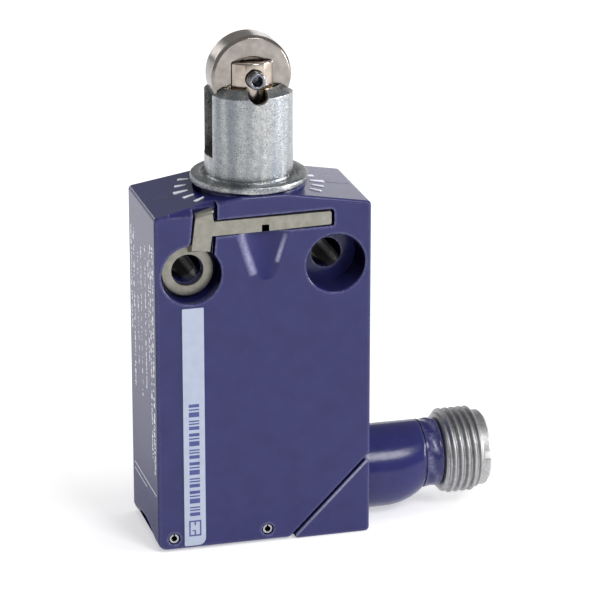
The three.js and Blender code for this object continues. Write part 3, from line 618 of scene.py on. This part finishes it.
LOOKS = {
    "violet_paint": violet_paint(),
    "zinc_plate": zinc_plate(),
    "roller_steel": turned_metal("roller_steel", (0.26, 0.235, 0.215), (0.37, 0.34, 0.315), (0.14, 0.28)),
    "bronze": turned_metal("bronze", (0.50, 0.38, 0.20), (0.68, 0.54, 0.33), (0.2, 0.34), "z"),
    "plunger_steel": turned_metal("plunger_steel", (0.33, 0.28, 0.24), (0.52, 0.46, 0.40), (0.12, 0.24), "z"),
    "clip_steel": clip_steel(),
    "dark_steel": plated("dark_steel", (0.15, 0.16, 0.18), (0.27, 0.28, 0.31), (0.2, 0.34)),
    "spring_steel": plated("spring_steel", (0.36, 0.37, 0.39), (0.52, 0.53, 0.54)),
    "nickel_brass": cast_nickel(),
    "gold_plate": plated("gold_plate", (0.72, 0.52, 0.20), (0.84, 0.64, 0.30), (0.18, 0.3)),
    "contact_copper": plated("contact_copper", (0.50, 0.27, 0.15), (0.66, 0.40, 0.24)),
    "black_rubber": moulded("black_rubber", (0.012, 0.012, 0.013), (0.025, 0.025, 0.027), (0.6, 0.8)),
    "dark_plastic": moulded("dark_plastic", (0.022, 0.023, 0.027), (0.04, 0.042, 0.047)),
    "pale_plastic": moulded("pale_plastic", (0.74, 0.73, 0.71), (0.84, 0.83, 0.82), (0.35, 0.5)),
    "pusher_plastic": moulded("pusher_plastic", (0.38, 0.07, 0.04), (0.48, 0.11, 0.06)),
    "label_film": moulded("label_film", (0.36, 0.405, 0.52), (0.41, 0.455, 0.57), (0.3, 0.42)),
    "wire_sheath": moulded("wire_sheath", (0.05, 0.05, 0.06), (0.09, 0.09, 0.10)),
    "white_ink": moulded("white_ink", (0.78, 0.78, 0.86), (0.92, 0.92, 0.97), (0.5, 0.6)),
    "blue_ink": moulded("blue_ink", (0.045, 0.055, 0.20), (0.07, 0.08, 0.26), (0.4, 0.5)),
}


# Housing ----------------------------------------------------------------------------------------

def housing_outline():
    return rounded([
        (-HALF_WIDTH, SKIRT, 1.2),
        (SPLIT_HOUSING + SKIRT, SKIRT, 0.45),
        (HALF_WIDTH, HALF_WIDTH - SPLIT_HOUSING, 0.45),
        (HALF_WIDTH, ROOF_EAVE, 0.6),
        (ROOF_FLAT, ROOF_TOP, 1.5),
        (-ROOF_FLAT, ROOF_TOP, 1.5),
        (-HALF_WIDTH, ROOF_EAVE, 0.6),
    ])


def cavity_tools():
    inner = SPLIT_HOUSING - 1.5 * math.sqrt(2)
    width, depth, top = 12.7, 5.9, 33.8
    main = [
        (-width, -1, 0), (inner - 1, -1, 0), (width, width - inner, 1),
        (width, top, 1.5), (-width, top, 1.5),
    ]
    return [
        plate("cut_main", rounded(main), -depth, depth, 0),
        block("cut_throat", -5, 5, -5.6, 5.6, 30, 44.1),
        block("cut_rebate", -13.4, 9.9, -6.6, 6.6, -1, 4.6),
        block("cut_passage", 2, HALF_WIDTH + 1, -4, 4, 3.5, 12.3),
        rod("cut_neck", 5.7, 43, ROOF_TOP + 1, "z"),
    ]


def hole_tools(side, seat_depth):
    at = (side * HOLE_X, 0, HOLE_Z)
    back = hole("cut_back", HOLE_RADIUS, 0, at)
    for vertex in back.data.vertices:
        vertex.co.y = -vertex.co.y
    back.data.flip_normals()
    return [
        back,
        rod("cut_through", HOLE_RADIUS, FRONT - 1, 1, "y", at, 96),
        hole("cut_seat", SEAT_RADIUS, FRONT + seat_depth, at, 0.22),
    ]


def clip_tools():
    floor = FRONT + CLIP_DEPTH
    slot = rounded([(-7.2, 44.85, 0.1), (9.75, 45.05, 0.3), (9.75, 47.42, 0.5), (-7.2, 47.15, 0.1)])
    arm = rounded([
        (-10.35, 41.5, 0.1), (-6.9, 41.5, 0.1), (-6.4, 47.5, 0.1),
        (-6.4, 52, 0.1), (-9.65, 52, 0.1), (-9.65, 48.3, 1.5),
    ])
    way = rounded([
        (-12.3, 40.5, 0.1), (-7, 39, 0.1), (-6.9, 44.2, 0.3),
        (-10.2, 44.2, 0.1), (-10.3, 43.4, 0.3), (-12.3, 43.4, 0.6),
    ])
    tools = [
        pocket("cut_slot", slot, floor, CLIP_EDGE),
        pocket("cut_arm", arm, floor, CLIP_EDGE),
        pocket("cut_way", way, FRONT + SEAT_LEFT, CLIP_EDGE),
    ]
    for side in (-1, 1):
        x0, x1 = sorted((side * 4.6, side * 6.0))
        tools.append(block("cut_prong", x0, x1, floor - 1, 2.4, 45.05, 46.95))
    return tools


def bevel_tool():
    """Slanted cut behind the lip of the clip, along the left of the front roof edge."""
    tilt = math.radians(38)
    base = 47.0
    front = FRONT - 1.2
    x0, x1 = -13.2, -6.4
    corners = []
    for depth, left in ((0, x0), (6, x0 + 1)):
        y = front + depth * math.cos(tilt)
        z = base + depth * math.sin(tilt)
        corners += [(left, y, z), (x1, y, z), (x1, y, z + 8), (left, y, z + 8)]
    faces = [(0, 1, 2, 3), (4, 5, 6, 7), (0, 1, 5, 4), (1, 2, 6, 5), (2, 3, 7, 6), (3, 0, 4, 7)]
    return made("cut_bevel", corners, faces)


def scoop_depth(u):
    """Hollow of the scoop across its width, with soft shoulders where it meets the front."""
    u = abs(u)
    return 1 - u * u if u < 0.85 else 2.603 * max(0, 1.1765 - u) ** 2


def scoop_tool():
    """Cutter for a hollow below the strip that is deepest at the top and fades out downwards."""
    top, base, widest, deepest = 45.8, 38.0, 3.7, 1.25
    steps, columns, spread = 24, 64, 1.25
    rings = []
    for k in range(steps + 1):
        t = k / steps
        z = top + (base - top) * t
        half = widest * (1 - t) ** 0.8 + 0.9 * t
        deep = deepest * (1 - t) ** 0.9
        shift = -0.15 + 0.45 * t
        ring = []
        for i in range(columns + 1):
            u = -spread + 2 * spread * i / columns
            ring.append((shift + half * u, FRONT - 0.012 + deep * scoop_depth(u), z))
        ring += [(ring[-1][0], FRONT - 2, z), (ring[0][0], FRONT - 2, z)]
        rings.append(ring)
    return skinned("cut_scoop", rings)


def roof_height(x):
    return ROOF_TOP - (abs(x) - ROOF_FLAT) * ROOF_SLOPE


def index_tool(side):
    """Cutter for the fine line across one slope of the roof."""
    x0, x1 = side * 10.4, side * 14.3
    points = []
    for x in (x0, x1):
        z = roof_height(x)
        points += [(x, -0.25, z + 0.3), (x, 0.25, z + 0.3), (x, 0, z - 0.25)]
    faces = [(0, 1, 2), (3, 4, 5), (0, 1, 4, 3), (1, 2, 5, 4), (2, 0, 3, 5)]
    return made("cut_index", points, faces)


def pin_place(node):
    """Middle of a roll pin, on the plane Y = 0."""
    low, high = extent(node)
    return ((low.x + high.x) / 2, 0, low.z + PIN_RADIUS)


def housing():
    shell = plate("housing_casting", housing_outline(), FRONT, HALF_DEPTH, CAST_EDGE)
    shell = join(shell, rod("boss", BOSS_RADIUS, ROOF_EAVE - 3, ROOF_TOP, "z", segments=96))
    tools = cavity_tools()
    tools += hole_tools(-1, SEAT_LEFT) + hole_tools(1, SEAT_RIGHT)
    tools += clip_tools()
    tools += [bevel_tool(), scoop_tool(), index_tool(-1), index_tool(1)]
    for node in ROLL_PINS:
        tools.append(hole("cut_pin", PIN_HOLE, HALF_DEPTH + 1, pin_place(node), 0.1, 48))
    foot = (0, 0, SKIRT + FOOT_RISE - FOOT_RADIUS)
    tools.append(rod("cut_foot", FOOT_RADIUS, -HALF_WIDTH - 1, -HALF_WIDTH + FOOT_DEPTH, "x", foot, 192))
    smooth(cut(shell, *tools))
    settle(shell, "housing", LOOKS["violet_paint"], "violet_paint", "housing")


def index_ticks():
    """Raised white ticks on both slopes of the roof, every 15 degrees."""
    points, faces = [], []
    for side in (-1, 1):
        for step in range(-2, 3):
            turn = math.radians(15 * step)
            inner, outer, half_in, half_out = 8.5, 10.1, 0.14, 0.30
            if step == 0:
                outer, half_out = 10.5, 0.42
            base = len(points)
            for radius, half in ((inner, half_in), (outer, half_out)):
                for offset in (-half, half):
                    x = side * (radius * math.cos(turn) - offset * math.sin(turn))
                    y = radius * math.sin(turn) + offset * math.cos(turn)
                    z = roof_height(x)
                    points += [(x, y, z - 0.1), (x, y, z + 0.13)]
            faces += [tuple(base + i for i in f) for f in
                      ((0, 2, 6, 4), (1, 3, 7, 5), (0, 2, 3, 1), (4, 6, 7, 5), (0, 4, 5, 1), (2, 6, 7, 3))]
    ticks = bevelled(made("index_ticks", points, faces), 0.06, 30)
    settle(ticks, "housing", LOOKS["white_ink"], "violet_paint")


def bars(name, boxes, place):
    """Thin raised bars; place turns (across, along, height) of a corner into a point."""
    points, faces = [], []
    for a0, a1, b0, b1 in boxes:
        base = len(points)
        for height in (-0.02, 0.012):
            points += [place(a, b, height) for a, b in ((a0, b0), (a1, b0), (a1, b1), (a0, b1))]
        faces += [tuple(base + i for i in f) for f in
                  ((0, 1, 2, 3), (4, 5, 6, 7), (0, 1, 5, 4), (1, 2, 6, 5), (2, 3, 7, 6), (3, 0, 4, 7))]
    return made(name, points, faces)


def side_marking():
    """Rows of plain pale dashes on the left side, with no lettering."""
    draw = random.Random(7)
    boxes = []
    rows = (
        (-6.9, 11, 43.8, 0.8), (-5.6, 13, 43.5, 0.7), (-4.4, 26, 42, 0.5), (-2.4, 22, 42.5, 0.6),
        (0.2, 20, 42, 0.5), (2.2, 24, 40, 0.5), (4.4, 20, 43, 0.7), (6.0, 28, 43, 0.7),
    )
    for y, low, high, size in rows:
        z = low
        while z < high:
            length = draw.choice((0.22, 0.3, 0.45, 0.7))
            start = y + draw.uniform(0, 0.3)
            boxes.append((start, start + size * draw.uniform(0.35, 1), z, z + length))
            z += length + draw.choice((0.12, 0.2, 0.3, 0.8))
    boxes += [(-7.0, 6.5, 8.0, 8.14), (-1.0, 6.5, 7.1, 7.22)]
    marking = bars("side_marking", boxes, lambda y, z, height: (-HALF_WIDTH - height, y, z))
    settle(marking, "housing", LOOKS["white_ink"], "violet_paint")


def label_print():
    """Plain blue bars and a switch contact symbol in a frame, in place of any lettering."""
    middle = (LABEL_LOW.x + LABEL_HIGH.x) / 2
    left, right = middle - 0.85, middle + 0.85
    boxes = [
        (left, right, 2.1, 2.32), (left, right, 4.2, 4.42),
        (left, left + 0.2, 2.32, 4.2), (right - 0.2, right, 2.32, 4.2),
        (middle - 0.1, middle + 0.1, 2.32, 2.85), (middle - 0.1, middle + 0.1, 3.7, 4.2),
        (middle - 0.4, middle + 0.1, 2.85, 3.0),
    ]
    z = 5.1
    rhythm = ((0.5, 0.25), (0.2, 0.2), (0.2, 0.5), (0.7, 0.25), (0.2, 0.25), (0.45, 0.5))
    for thickness, gap in rhythm * 4:
        boxes.append((middle - 0.72, middle + 0.72, z, z + thickness))
        z += thickness + gap
    printed = bars("label_print", boxes, lambda x, z, height: (x, LABEL_LOW.y - height, z))
    settle(printed, "housing", LOOKS["blue_ink"], "label_film")


def label():
    low, high = LABEL_LOW, LABEL_HIGH
    outline = rounded([
        (low.x, low.z, 0.2), (high.x, low.z, 1.0),
        (high.x, high.z, 0.15), (low.x, high.z, 0.15),
    ])
    strip = smooth(plate("label_strip", outline, low.y, high.y, 0.03, 2))
    settle(strip, "housing", LOOKS["label_film"], "label_film", "label")


# Locking clip -----------------------------------------------------------------------------------

def clip_eye(front):
    back = front + CLIP_THICKNESS
    profile = [
        (EYE_INNER, front, 0.06), (EYE_OUTER, front, 0.1),
        (EYE_OUTER, back, 0.06), (EYE_INNER, back, 0.06),
    ]
    return lathe("eye", eased(profile, 3, True), "y", (-HOLE_X, 0, HOLE_Z), 96)


def clip_joggle(front, eye_front):
    """The step between the arm at the front and the eye on its seat; its section is (y, z)."""
    back, eye_back = front + CLIP_THICKNESS, eye_front + CLIP_THICKNESS
    corners = (
        (front, 43.9), (front, 43.1), (eye_front, 42.2),
        (eye_back, 42.2), (eye_back, 42.9), (back, 43.9),
    )
    section = [Vector(corner) for corner in corners]
    return slab("joggle", section, [(0, -9.9), (0, -7.45)], lambda p, x: (x, p.x, p.y))


def clip_lip(front):
    """The rolled lip on top of the arm, which leans like the arm's end; its section is (y, z)."""
    back = front + CLIP_THICKNESS
    corners = (
        (back, 48.0), (front, 47.9), (front - 0.35, 48.0), (front - 0.72, 48.08), (front - 0.88, 48.3),
        (front - 0.8, 48.55), (front - 0.5, 48.68), (front, 48.62), (back, 48.5),
    )
    section = [Vector(corner) for corner in corners]
    levels = [(0.1, -9.45), (0, -9.33), (0, -7.22), (0.1, -7.1)]
    lean = 0.55 / 2.3
    return slab("lip", section, levels, lambda p, x: (x, p.x, p.y + (x + 8.25) * lean))


def clip_prong(side, front):
    x0, x1 = sorted((side * 4.9, side * 5.7))
    outline = [Vector((x0, 45.35)), Vector((x1, 45.35)), Vector((x1, 46.65)), Vector((x0, 46.65))]
    return plate("prong", outline, front + 0.3, 2, 0.1, 2)


def locking_clip():
    front = FRONT + 0.05
    eye_front = -5.6
    face = rounded([
        (-9.95, 43.2, 0.1), (-7.4, 42.8, 0.1), (-7.1, 44.95, 0.15), (-0.2, 45.02, 0.03), (-0.2, 45.9, 0.05),
        (0.67, 45.9, 0.05), (0.67, 45.04, 0.03), (9.4, 45.25, 0.2), (9.4, 47.12, 0.35), (-6.85, 46.95, 0.12),
        (-7.1, 48.7, 0.1), (-9.3, 48.2, 0.1),
    ])
    stamping = plate("clip_stamping", face, front, front + CLIP_THICKNESS, 0.07, 2)
    corner = rounded([(-12.3, 41.3, 0.1), (-9, 42, 0.1), (-9, 42.75, 0.1), (-11.3, 42.75, 0.5)])
    shoulder = plate("shoulder", corner, eye_front, eye_front + CLIP_THICKNESS, 0.06, 2)
    prongs = [clip_prong(side, front) for side in (-1, 1)]
    join(stamping, clip_eye(eye_front), shoulder, clip_joggle(front, eye_front), clip_lip(front), *prongs)
    bore = rod("cut_eye", EYE_INNER, eye_front - 1, eye_front + 1.2, "y", (-HOLE_X, 0, HOLE_Z), 96)
    smooth(cut(stamping, bore), 40)
    settle(stamping, "clip", LOOKS["clip_steel"], "clip_steel", "locking_clip")


# Head -------------------------------------------------------------------------------------------

def slot_tools():
    """Roller slot, guide grooves for the ends of the axle and the notches in front of them."""
    tools = [block("cut_slot", -20, 20, -SLOT_HALF, SLOT_HALF, SLOT_BASE, SLEEVE_TOP + 1)]
    half, reach = GROOVE_HALF, GROOVE_REACH
    tools.append(block("cut_groove", -half, half, -reach, reach, GROOVE_BASE, SLEEVE_TOP + 1))
    tools.append(rod("cut_notch", half, -7, 7, "y", (0, 0, NOTCH_Z)))
    return tools


def head_sleeve():
    groove = FLANGE_TOP - 0.25
    profile = eased([
        (1.8, NECK_BASE, 0.1), (5.5, NECK_BASE, 0.2), (5.5, 45, 0.05), (4.6, 45, 0.1),
        (4.6, 47, 0.1), (5.5, 47, 0.05), (5.5, 47.9, 0.05), (4.85, 47.9, 0.1),
        (4.85, 48.9, 0.1), (5.5, 48.9, 0.05), (5.5, FLANGE_BASE, 0.05), (FLANGE_RADIUS, FLANGE_BASE, 0.25),
        (FLANGE_RADIUS, FLANGE_TOP, 0.35), (6.6, FLANGE_TOP, 0.12), (6.55, groove, 0.1),
        (SLEEVE_RADIUS + 0.12, groove, 0.1), (SLEEVE_RADIUS, groove + 0.35, 0.1), (SLEEVE_RADIUS, 62.7, 0.3),
        (4.6, SLEEVE_TOP, 0.12), (4.3, SLEEVE_TOP, 0.05), (4.3, 49.5, 0.1), (3.6, 49.5, 0.05),
        (3.6, 45.1, 0.2), (1.8, 45.1, 0.05),
    ], 3, True)
    sleeve = lathe("sleeve_turned", profile, "z", segments=128)
    bevelled(smooth(cut(sleeve, *slot_tools()), 35), 0.05)
    settle(sleeve, "head", LOOKS["zinc_plate"], "zinc_plate", "head_sleeve")


def guide_bush():
    inner, outer = 3.8, BUSH_HIGH.x
    low, high = BUSH_LOW.z, BUSH_HIGH.z
    profile = eased([(inner, low, 0.1), (outer, low, 0.1), (outer, high, 0.1), (inner, high, 0.15)], 3, True)
    bush = lathe("bush_turned", profile, "z", segments=128)
    smooth(cut(bush, *slot_tools()), 35)
    settle(bush, "head", LOOKS["bronze"], "bronze", "guide_bush")


def plunger():
    radius, top, tip = PLUNGER_HIGH.x, PLUNGER_HIGH.z, PLUNGER_LOW.z
    profile = [(0, tip)] + eased([
        (0.5, tip), (1.5, tip, 0.4), (1.5, 43.3, 0.03), (1.1, 43.3, 0.03),
        (1.1, 44, 0.03), (1.5, 44, 0.03), (1.5, 55, 0.15), (radius, 55, 0.3),
        (radius, top, 0.22), (0.5, top),
    ], 3) + [(0, top)]
    piston = lathe("plunger_turned", profile, "z", segments=128)
    clevis = block("cut_clevis", -20, 20, -2.25, 2.25, 58.7, top + 1)
    bore = rod("cut_bore", AXLE_RADIUS + 0.1, -20, 20, "y", (0, 0, ROLLER_Z))
    bevelled(smooth(cut(piston, clevis, bore), 35), 0.06)
    settle(piston, "plunger", LOOKS["plunger_steel"], "plunger_steel", "plunger")


def roller_axle():
    end, bore, depth = AXLE_HIGH.y, 0.72, 1.9
    back = [(0, end - depth), (bore - 0.1, end - depth, 0.05), (bore, end, 0.12), (AXLE_RADIUS, end, 0.28)]
    front = [(radius, -along, *ease) for radius, along, *ease in back]
    profile = eased(front + back[::-1], 3)
    tube = smooth(lathe("axle_tube", profile, "y", (0, 0, ROLLER_Z), 64), 50)
    settle(tube, "plunger", LOOKS["dark_steel"], "dark_steel", "roller_axle")


def roller():
    half, radius = ROLLER_HIGH.y, ROLLER_RADIUS
    back = [
        (radius, half - 0.35, 0.2), (radius - 0.35, half, 0.15), (2.75, half, 0.1),
        (2.6, half - 0.15, 0.08), (1.4, half - 0.15, 0.08),
    ]
    front = [(r, -along, ease) for r, along, ease in reversed(back)]
    profile = eased(front + back, 3, True)
    disc = smooth(lathe("roller_disc", profile, "y", (0, 0, ROLLER_Z), 160), 40)
    settle(disc, "roller", LOOKS["roller_steel"], "roller_steel", "roller")


def coil(name, radius, wire, low, high, turns, body, node):
    """A coil spring with closed ends."""
    sides, steps, closed = 10, int(turns * 40), 0.08
    rings = []
    for k in range(steps + 1):
        t = k / steps
        turn = t * turns * 2 * math.pi
        rise = min(1, max(0, (t - closed) / (1 - 2 * closed)))
        height = low + wire + (high - low - 2 * wire) * rise
        outward = Vector((math.cos(turn), math.sin(turn), 0))
        centre = outward * radius + Vector((0, 0, height))
        ring = []
        for i in range(sides):
            a = 2 * math.pi * i / sides
            ring.append(centre + outward * wire * math.cos(a) + Vector((0, 0, wire * math.sin(a))))
        rings.append(ring)
    spring = smooth(skinned(name, rings), 60)
    settle(spring, body, LOOKS["spring_steel"], "spring_steel", node)
    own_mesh(spring)


# Base cover and connector -----------------------------------------------------------------------

def boss_rings():
    """Circles along the snout: their tops stay level while the underside rises to the connector."""
    top, base_low, straight, end = 12.4, 0.6, 18.5, 24.3
    base_end = PORT_Z - NECK_RADIUS - 0.15
    lip = 0.35
    stations = [(13.0, 0), (straight, 0)]
    stations += [(straight + (end - lip - straight) * k / 16, 0) for k in range(1, 17)]
    turns = [math.pi / 2 * k / 4 for k in range(1, 5)]
    stations += [(end - lip + lip * math.sin(a), lip * (1 - math.cos(a))) for a in turns]
    rings = []
    for x, shrink in stations:
        t = max(0, (x - straight) / (end - straight))
        base = base_low + (base_end - base_low) * t ** 2.4
        radius = (top - base) / 2
        centre = top - radius
        r = radius - shrink
        rings.append([(x, r * math.cos(a), centre + r * math.sin(a)) for a in
                      (2 * math.pi * i / 128 for i in range(128))])
    return rings


def neck_profile():
    """The round neck behind the thread, slightly uneven as cast, with a seam groove by the snout."""
    radius, end = NECK_RADIUS, NECK_END
    seam = 24.45
    profile = [
        (0, 13), (radius, 13), (radius, seam - 0.25),
        (radius - 0.14, seam - 0.18), (radius - 0.14, seam - 0.09), (radius, seam),
    ]
    steps = 20
    for k in range(1, steps):
        x = seam + (end - 0.3 - seam) * k / steps
        profile.append((cast_wave(radius, x, k / steps), x))
    profile += [(radius, end - 0.25), (radius - 0.08, end - 0.07), (radius - 0.25, end), (0, end)]
    return profile


def cast_wave(radius, x, t):
    fade = min(1, 5 * t, 5 * (1 - t))
    return lambda a: radius + fade * 0.05 * (math.sin(3 * a + 2.1 * x) + math.sin(7 * a - 3.2 * x) - 1)


def base_cover():
    outline = rounded([
        (SPLIT_COVER, 0, 0.45), (HALF_WIDTH, 0, 0.6),
        (HALF_WIDTH, HALF_WIDTH - SPLIT_COVER, 0.45),
    ])
    corner = plate("cover_casting", outline, FRONT, HALF_DEPTH, CAST_EDGE)
    tongue = block("tongue", COVER_LOW.x, SPLIT_COVER + 3.2, -6.3, 6.3, 0, 3.4)
    port = skinned("port", boss_rings())
    neck = lathe("neck", neck_profile(), "x", (0, 0, PORT_Z), 128)
    clear = HALF_WIDTH + 0.2
    above = [Vector(p) for p in ((SPLIT_COVER - 5, -5), (clear, clear - SPLIT_COVER), (clear, 20), (-5, 20))]
    cut(join(port, neck), plate("cut_above", above, -30, 30))
    join(corner, tongue, port)
    tools = [
        rod("cut_bore", 3.6, 0, 30, "x", (0, 0, PORT_Z), 96),
        rod("cut_socket", 4.4, 24.4, 30, "x", (0, 0, PORT_Z), 96),
    ]
    for node in ROLL_PINS:
        tools.append(rod("cut_pin", PIN_HOLE, -9, 9, "y", pin_place(node), 40))
    smooth(cut(corner, *tools))
    settle(corner, "housing", LOOKS["violet_paint"], "violet_paint", "base_cover")


def thread_radius(x, start, crests, minor, major):
    """Radius of a right-hand thread at a place along its axis, as a function of the angle."""
    def radius(turn):
        u = (x - start - turn / (2 * math.pi)) % 1.0
        ridge = min(1, max(0, (1 - abs(2 * u - 1) - 0.18) / 0.62))
        ridge = ridge * ridge * (3 - 2 * ridge)
        fade = min(1, max(0, (x - start) / 0.5), max(0, (start + crests + 0.2 - x) / 0.5))
        return minor + (major - minor) * ridge * max(0, fade)
    return radius


def connector_shell():
    spigot_start, end = SHELL_LOW.x, SHELL_HIGH.x
    start, crests, minor, major, rim_radius = NECK_END + 0.3, 5, 5.42, SHELL_HIGH.y, 5.35
    profile = [
        (3.5, spigot_start), (4.1, spigot_start), (4.1, start - 0.15),
        (minor - 0.15, start - 0.15), (minor, start),
    ]
    steps = 14
    for k in range(1, crests * steps + 3):
        x = start + k / steps
        profile.append((thread_radius(x, start, crests, minor, major), x))
    run_out = start + crests + 0.2
    rest = eased([
        (minor, run_out), (rim_radius, run_out + 0.1, 0.05), (rim_radius, end, 0.25),
        (4.9, end, 0.12), (4.9, start + 0.6, 0.1), (3.5, start + 0.6, 0.05),
    ], 3)
    profile += rest[1:] + [profile[0]]
    shell = lathe("thread_shell", profile, "x", (0, 0, PORT_Z), 128)
    key = block("cut_key", end - 0.9, end + 1, -7, -4.5, PORT_Z + 0.05, PORT_Z + 1.35)
    bevelled(smooth(cut(shell, key), 38), 0.05)
    settle(shell, "housing", LOOKS["nickel_brass"], "nickel_brass", "connector_shell")


def contact_carrier():
    outer, end = CUP_HIGH.y, CUP_HIGH.x
    start, floor = 28.1, 29.5
    profile = [(0, CUP_LOW.x)] + eased([
        (0.5, CUP_LOW.x), (3.2, CUP_LOW.x, 0.2), (3.2, start, 0.05), (outer, start, 0.2), (outer, end, 0.22),
        (4.2, end, 0.18), (4.2, floor, 0.3), (0.5, floor),
    ], 4) + [(0, floor)]
    cup = lathe("carrier_cup", profile, "x", (0, 0, PORT_Z), 96)
    key = block("key", floor - 0.3, end - 0.7, -4.4, -3.6, PORT_Z + 0.3, PORT_Z + 1.1)
    smooth(join(cup, key), 40)
    settle(cup, "housing", LOOKS["pale_plastic"], "pale_plastic", "contact_carrier")
    for number in range(1, 5):
        contact_pin(number)


def contact_pin(number):
    node = "contact_pin_%d" % number
    low, high = extent(node)
    at = (0, (low.y + high.y) / 2, (low.z + high.z) / 2)
    profile = [(0, low.x), (0.5, low.x, 0.1), (0.5, high.x - 0.5, 0.2), (0.2, high.x, 0.1), (0, high.x)]
    pin = smooth(lathe("pin_turned_%d" % number, eased(profile, 3), "x", at, 32), 50)
    settle(pin, "housing", LOOKS["gold_plate"], "gold_plate", node)


def roll_pin(node):
    at = pin_place(node)
    half = extent(node)[1].y
    profile = [(0.4, -half, 0.04), (PIN_RADIUS, -half, 0.1), (PIN_RADIUS, half, 0.1), (0.4, half, 0.04)]
    pin = lathe(node + "_rolled", eased(profile, 3, True), "y", at, 48)
    cut(pin, block("cut_split", at[0] - 0.1, at[0] + 0.1, -20, 20, at[2], at[2] + 2))
    settle(smooth(pin, 40), "housing", LOOKS["spring_steel"], "spring_steel", node)


# Pieces kept from the frame ---------------------------------------------------------------------

def dress_frame():
    """Gives every CAD node that still shows its own procedural material."""
    for row in frame["record"]["subparts"]:
        node = frame["nodes"][row["node"]]
        look = LOOKS[row["material_slot"]]
        if not node.material_slots:
            node.data.materials.append(look)
        for place in node.material_slots:
            place.material = look


# Stage ------------------------------------------------------------------------------------------

# Half width of the floor and its distance below the foot, in metres
FLOOR_REACH = 3.0
FLOOR_GAP = 0.00005
FLOOR_GLOW = 0.42
WORLD_LIGHT = 0.34


def camera():
    """15.3 degrees to the left of the front and 19.2 degrees up, aimed in millimetres."""
    azimuth, elevation, distance = math.radians(15.3), math.radians(19.21), 450
    aim = Vector((7.17, 0, 32.02))
    level = math.cos(elevation)
    away = Vector((-math.sin(azimuth) * level, -math.cos(azimuth) * level, math.sin(elevation)))
    data = bpy.data.cameras.new("camera")
    data.lens = 196.4
    data.sensor_width = 36
    data.clip_start = 0.01
    eye = bpy.data.objects.new("camera", data)
    eye.location = (aim + away * distance) * MM
    eye.rotation_euler = (-away).to_track_quat("-Z", "Y").to_euler()
    bpy.context.scene.collection.objects.link(eye)
    bpy.context.scene.camera = eye


def lamp(name, place, target, size, power, height=None):
    data = bpy.data.lights.new(name, "AREA")
    data.shape = "RECTANGLE"
    data.size = size
    data.size_y = height or size
    data.energy = power
    light = bpy.data.objects.new(name, data)
    light.location = place
    light.visible_camera = False
    light.rotation_euler = (Vector(target) - Vector(place)).to_track_quat("-Z", "Y").to_euler()
    bpy.context.scene.collection.objects.link(light)
    return light


def stage():
    mesh = bpy.data.meshes.new("floor")
    reach = FLOOR_REACH
    corners = [(-reach, -reach, 0), (reach, -reach, 0), (reach, reach, 0), (-reach, reach, 0)]
    mesh.from_pydata(corners, [], [(0, 1, 2, 3)])
    floor = bpy.data.objects.new("floor", mesh)
    floor.location.z = cad_box[0][2] - FLOOR_GAP
    bpy.context.scene.collection.objects.link(floor)
    look = Look("floor_paper", roughness=0.9)
    look.colour(look.blend(look.ranged(look.noise(0.01, 2), 0, 1), (0.86, 0.86, 0.865), (0.88, 0.88, 0.885)))
    look.set("Emission Color", (1, 1, 1, 1))
    look.set("Emission Strength", FLOOR_GLOW)
    mesh.materials.append(look.material)
    world = bpy.data.worlds.new("world")
    world.use_nodes = True
    sky = world.node_tree.nodes["Background"]
    sky.inputs["Color"].default_value = (1, 1, 1, 1)
    sky.inputs["Strength"].default_value = WORLD_LIGHT
    bpy.context.scene.world = world
    lamp("top", (0.1, 0.0, 0.75), (0, 0, 0), 0.6, 1.6).visible_glossy = False
    lamp("right", (0.70, -0.22, 0.15), (0, 0, 0.04), 0.22, 4.2, height=0.24)
    lamp("left", (-0.62, 0.36, 0.16), (0, 0, 0.05), 0.10, 0.6, height=0.24)
    lamp("front", (0.30, -0.71, 0.667), (0.01, 0, 0.02), 0.30, 3.6, height=0.32)
    lamp("back", (0.50, 0.85, 0.17), (0, 0, 0.04), 0.50, 0.5, height=0.26)
    lamp("rim", (-0.32, 0.91, 0.28), (0, 0, 0.06), 0.16, 0.35, height=0.34)
    bpy.context.scene.view_settings.view_transform = "Standard"


camera()
stage()
dress_frame()
housing()
index_ticks()
side_marking()
label()
label_print()
locking_clip()
head_sleeve()
guide_bush()
plunger()
roller_axle()
roller()
coil("return_spring_wound", radius=2.6, wire=0.3, low=45.15, high=54.95, turns=7,
     body="head", node="return_spring")
coil("pusher_spring_wound", radius=1.2, wire=0.15, low=17.55, high=24.95, turns=8,
     body="housing", node="pusher_spring")
base_cover()
connector_shell()
contact_carrier()
for pin_node in ROLL_PINS:
    roll_pin(pin_node)
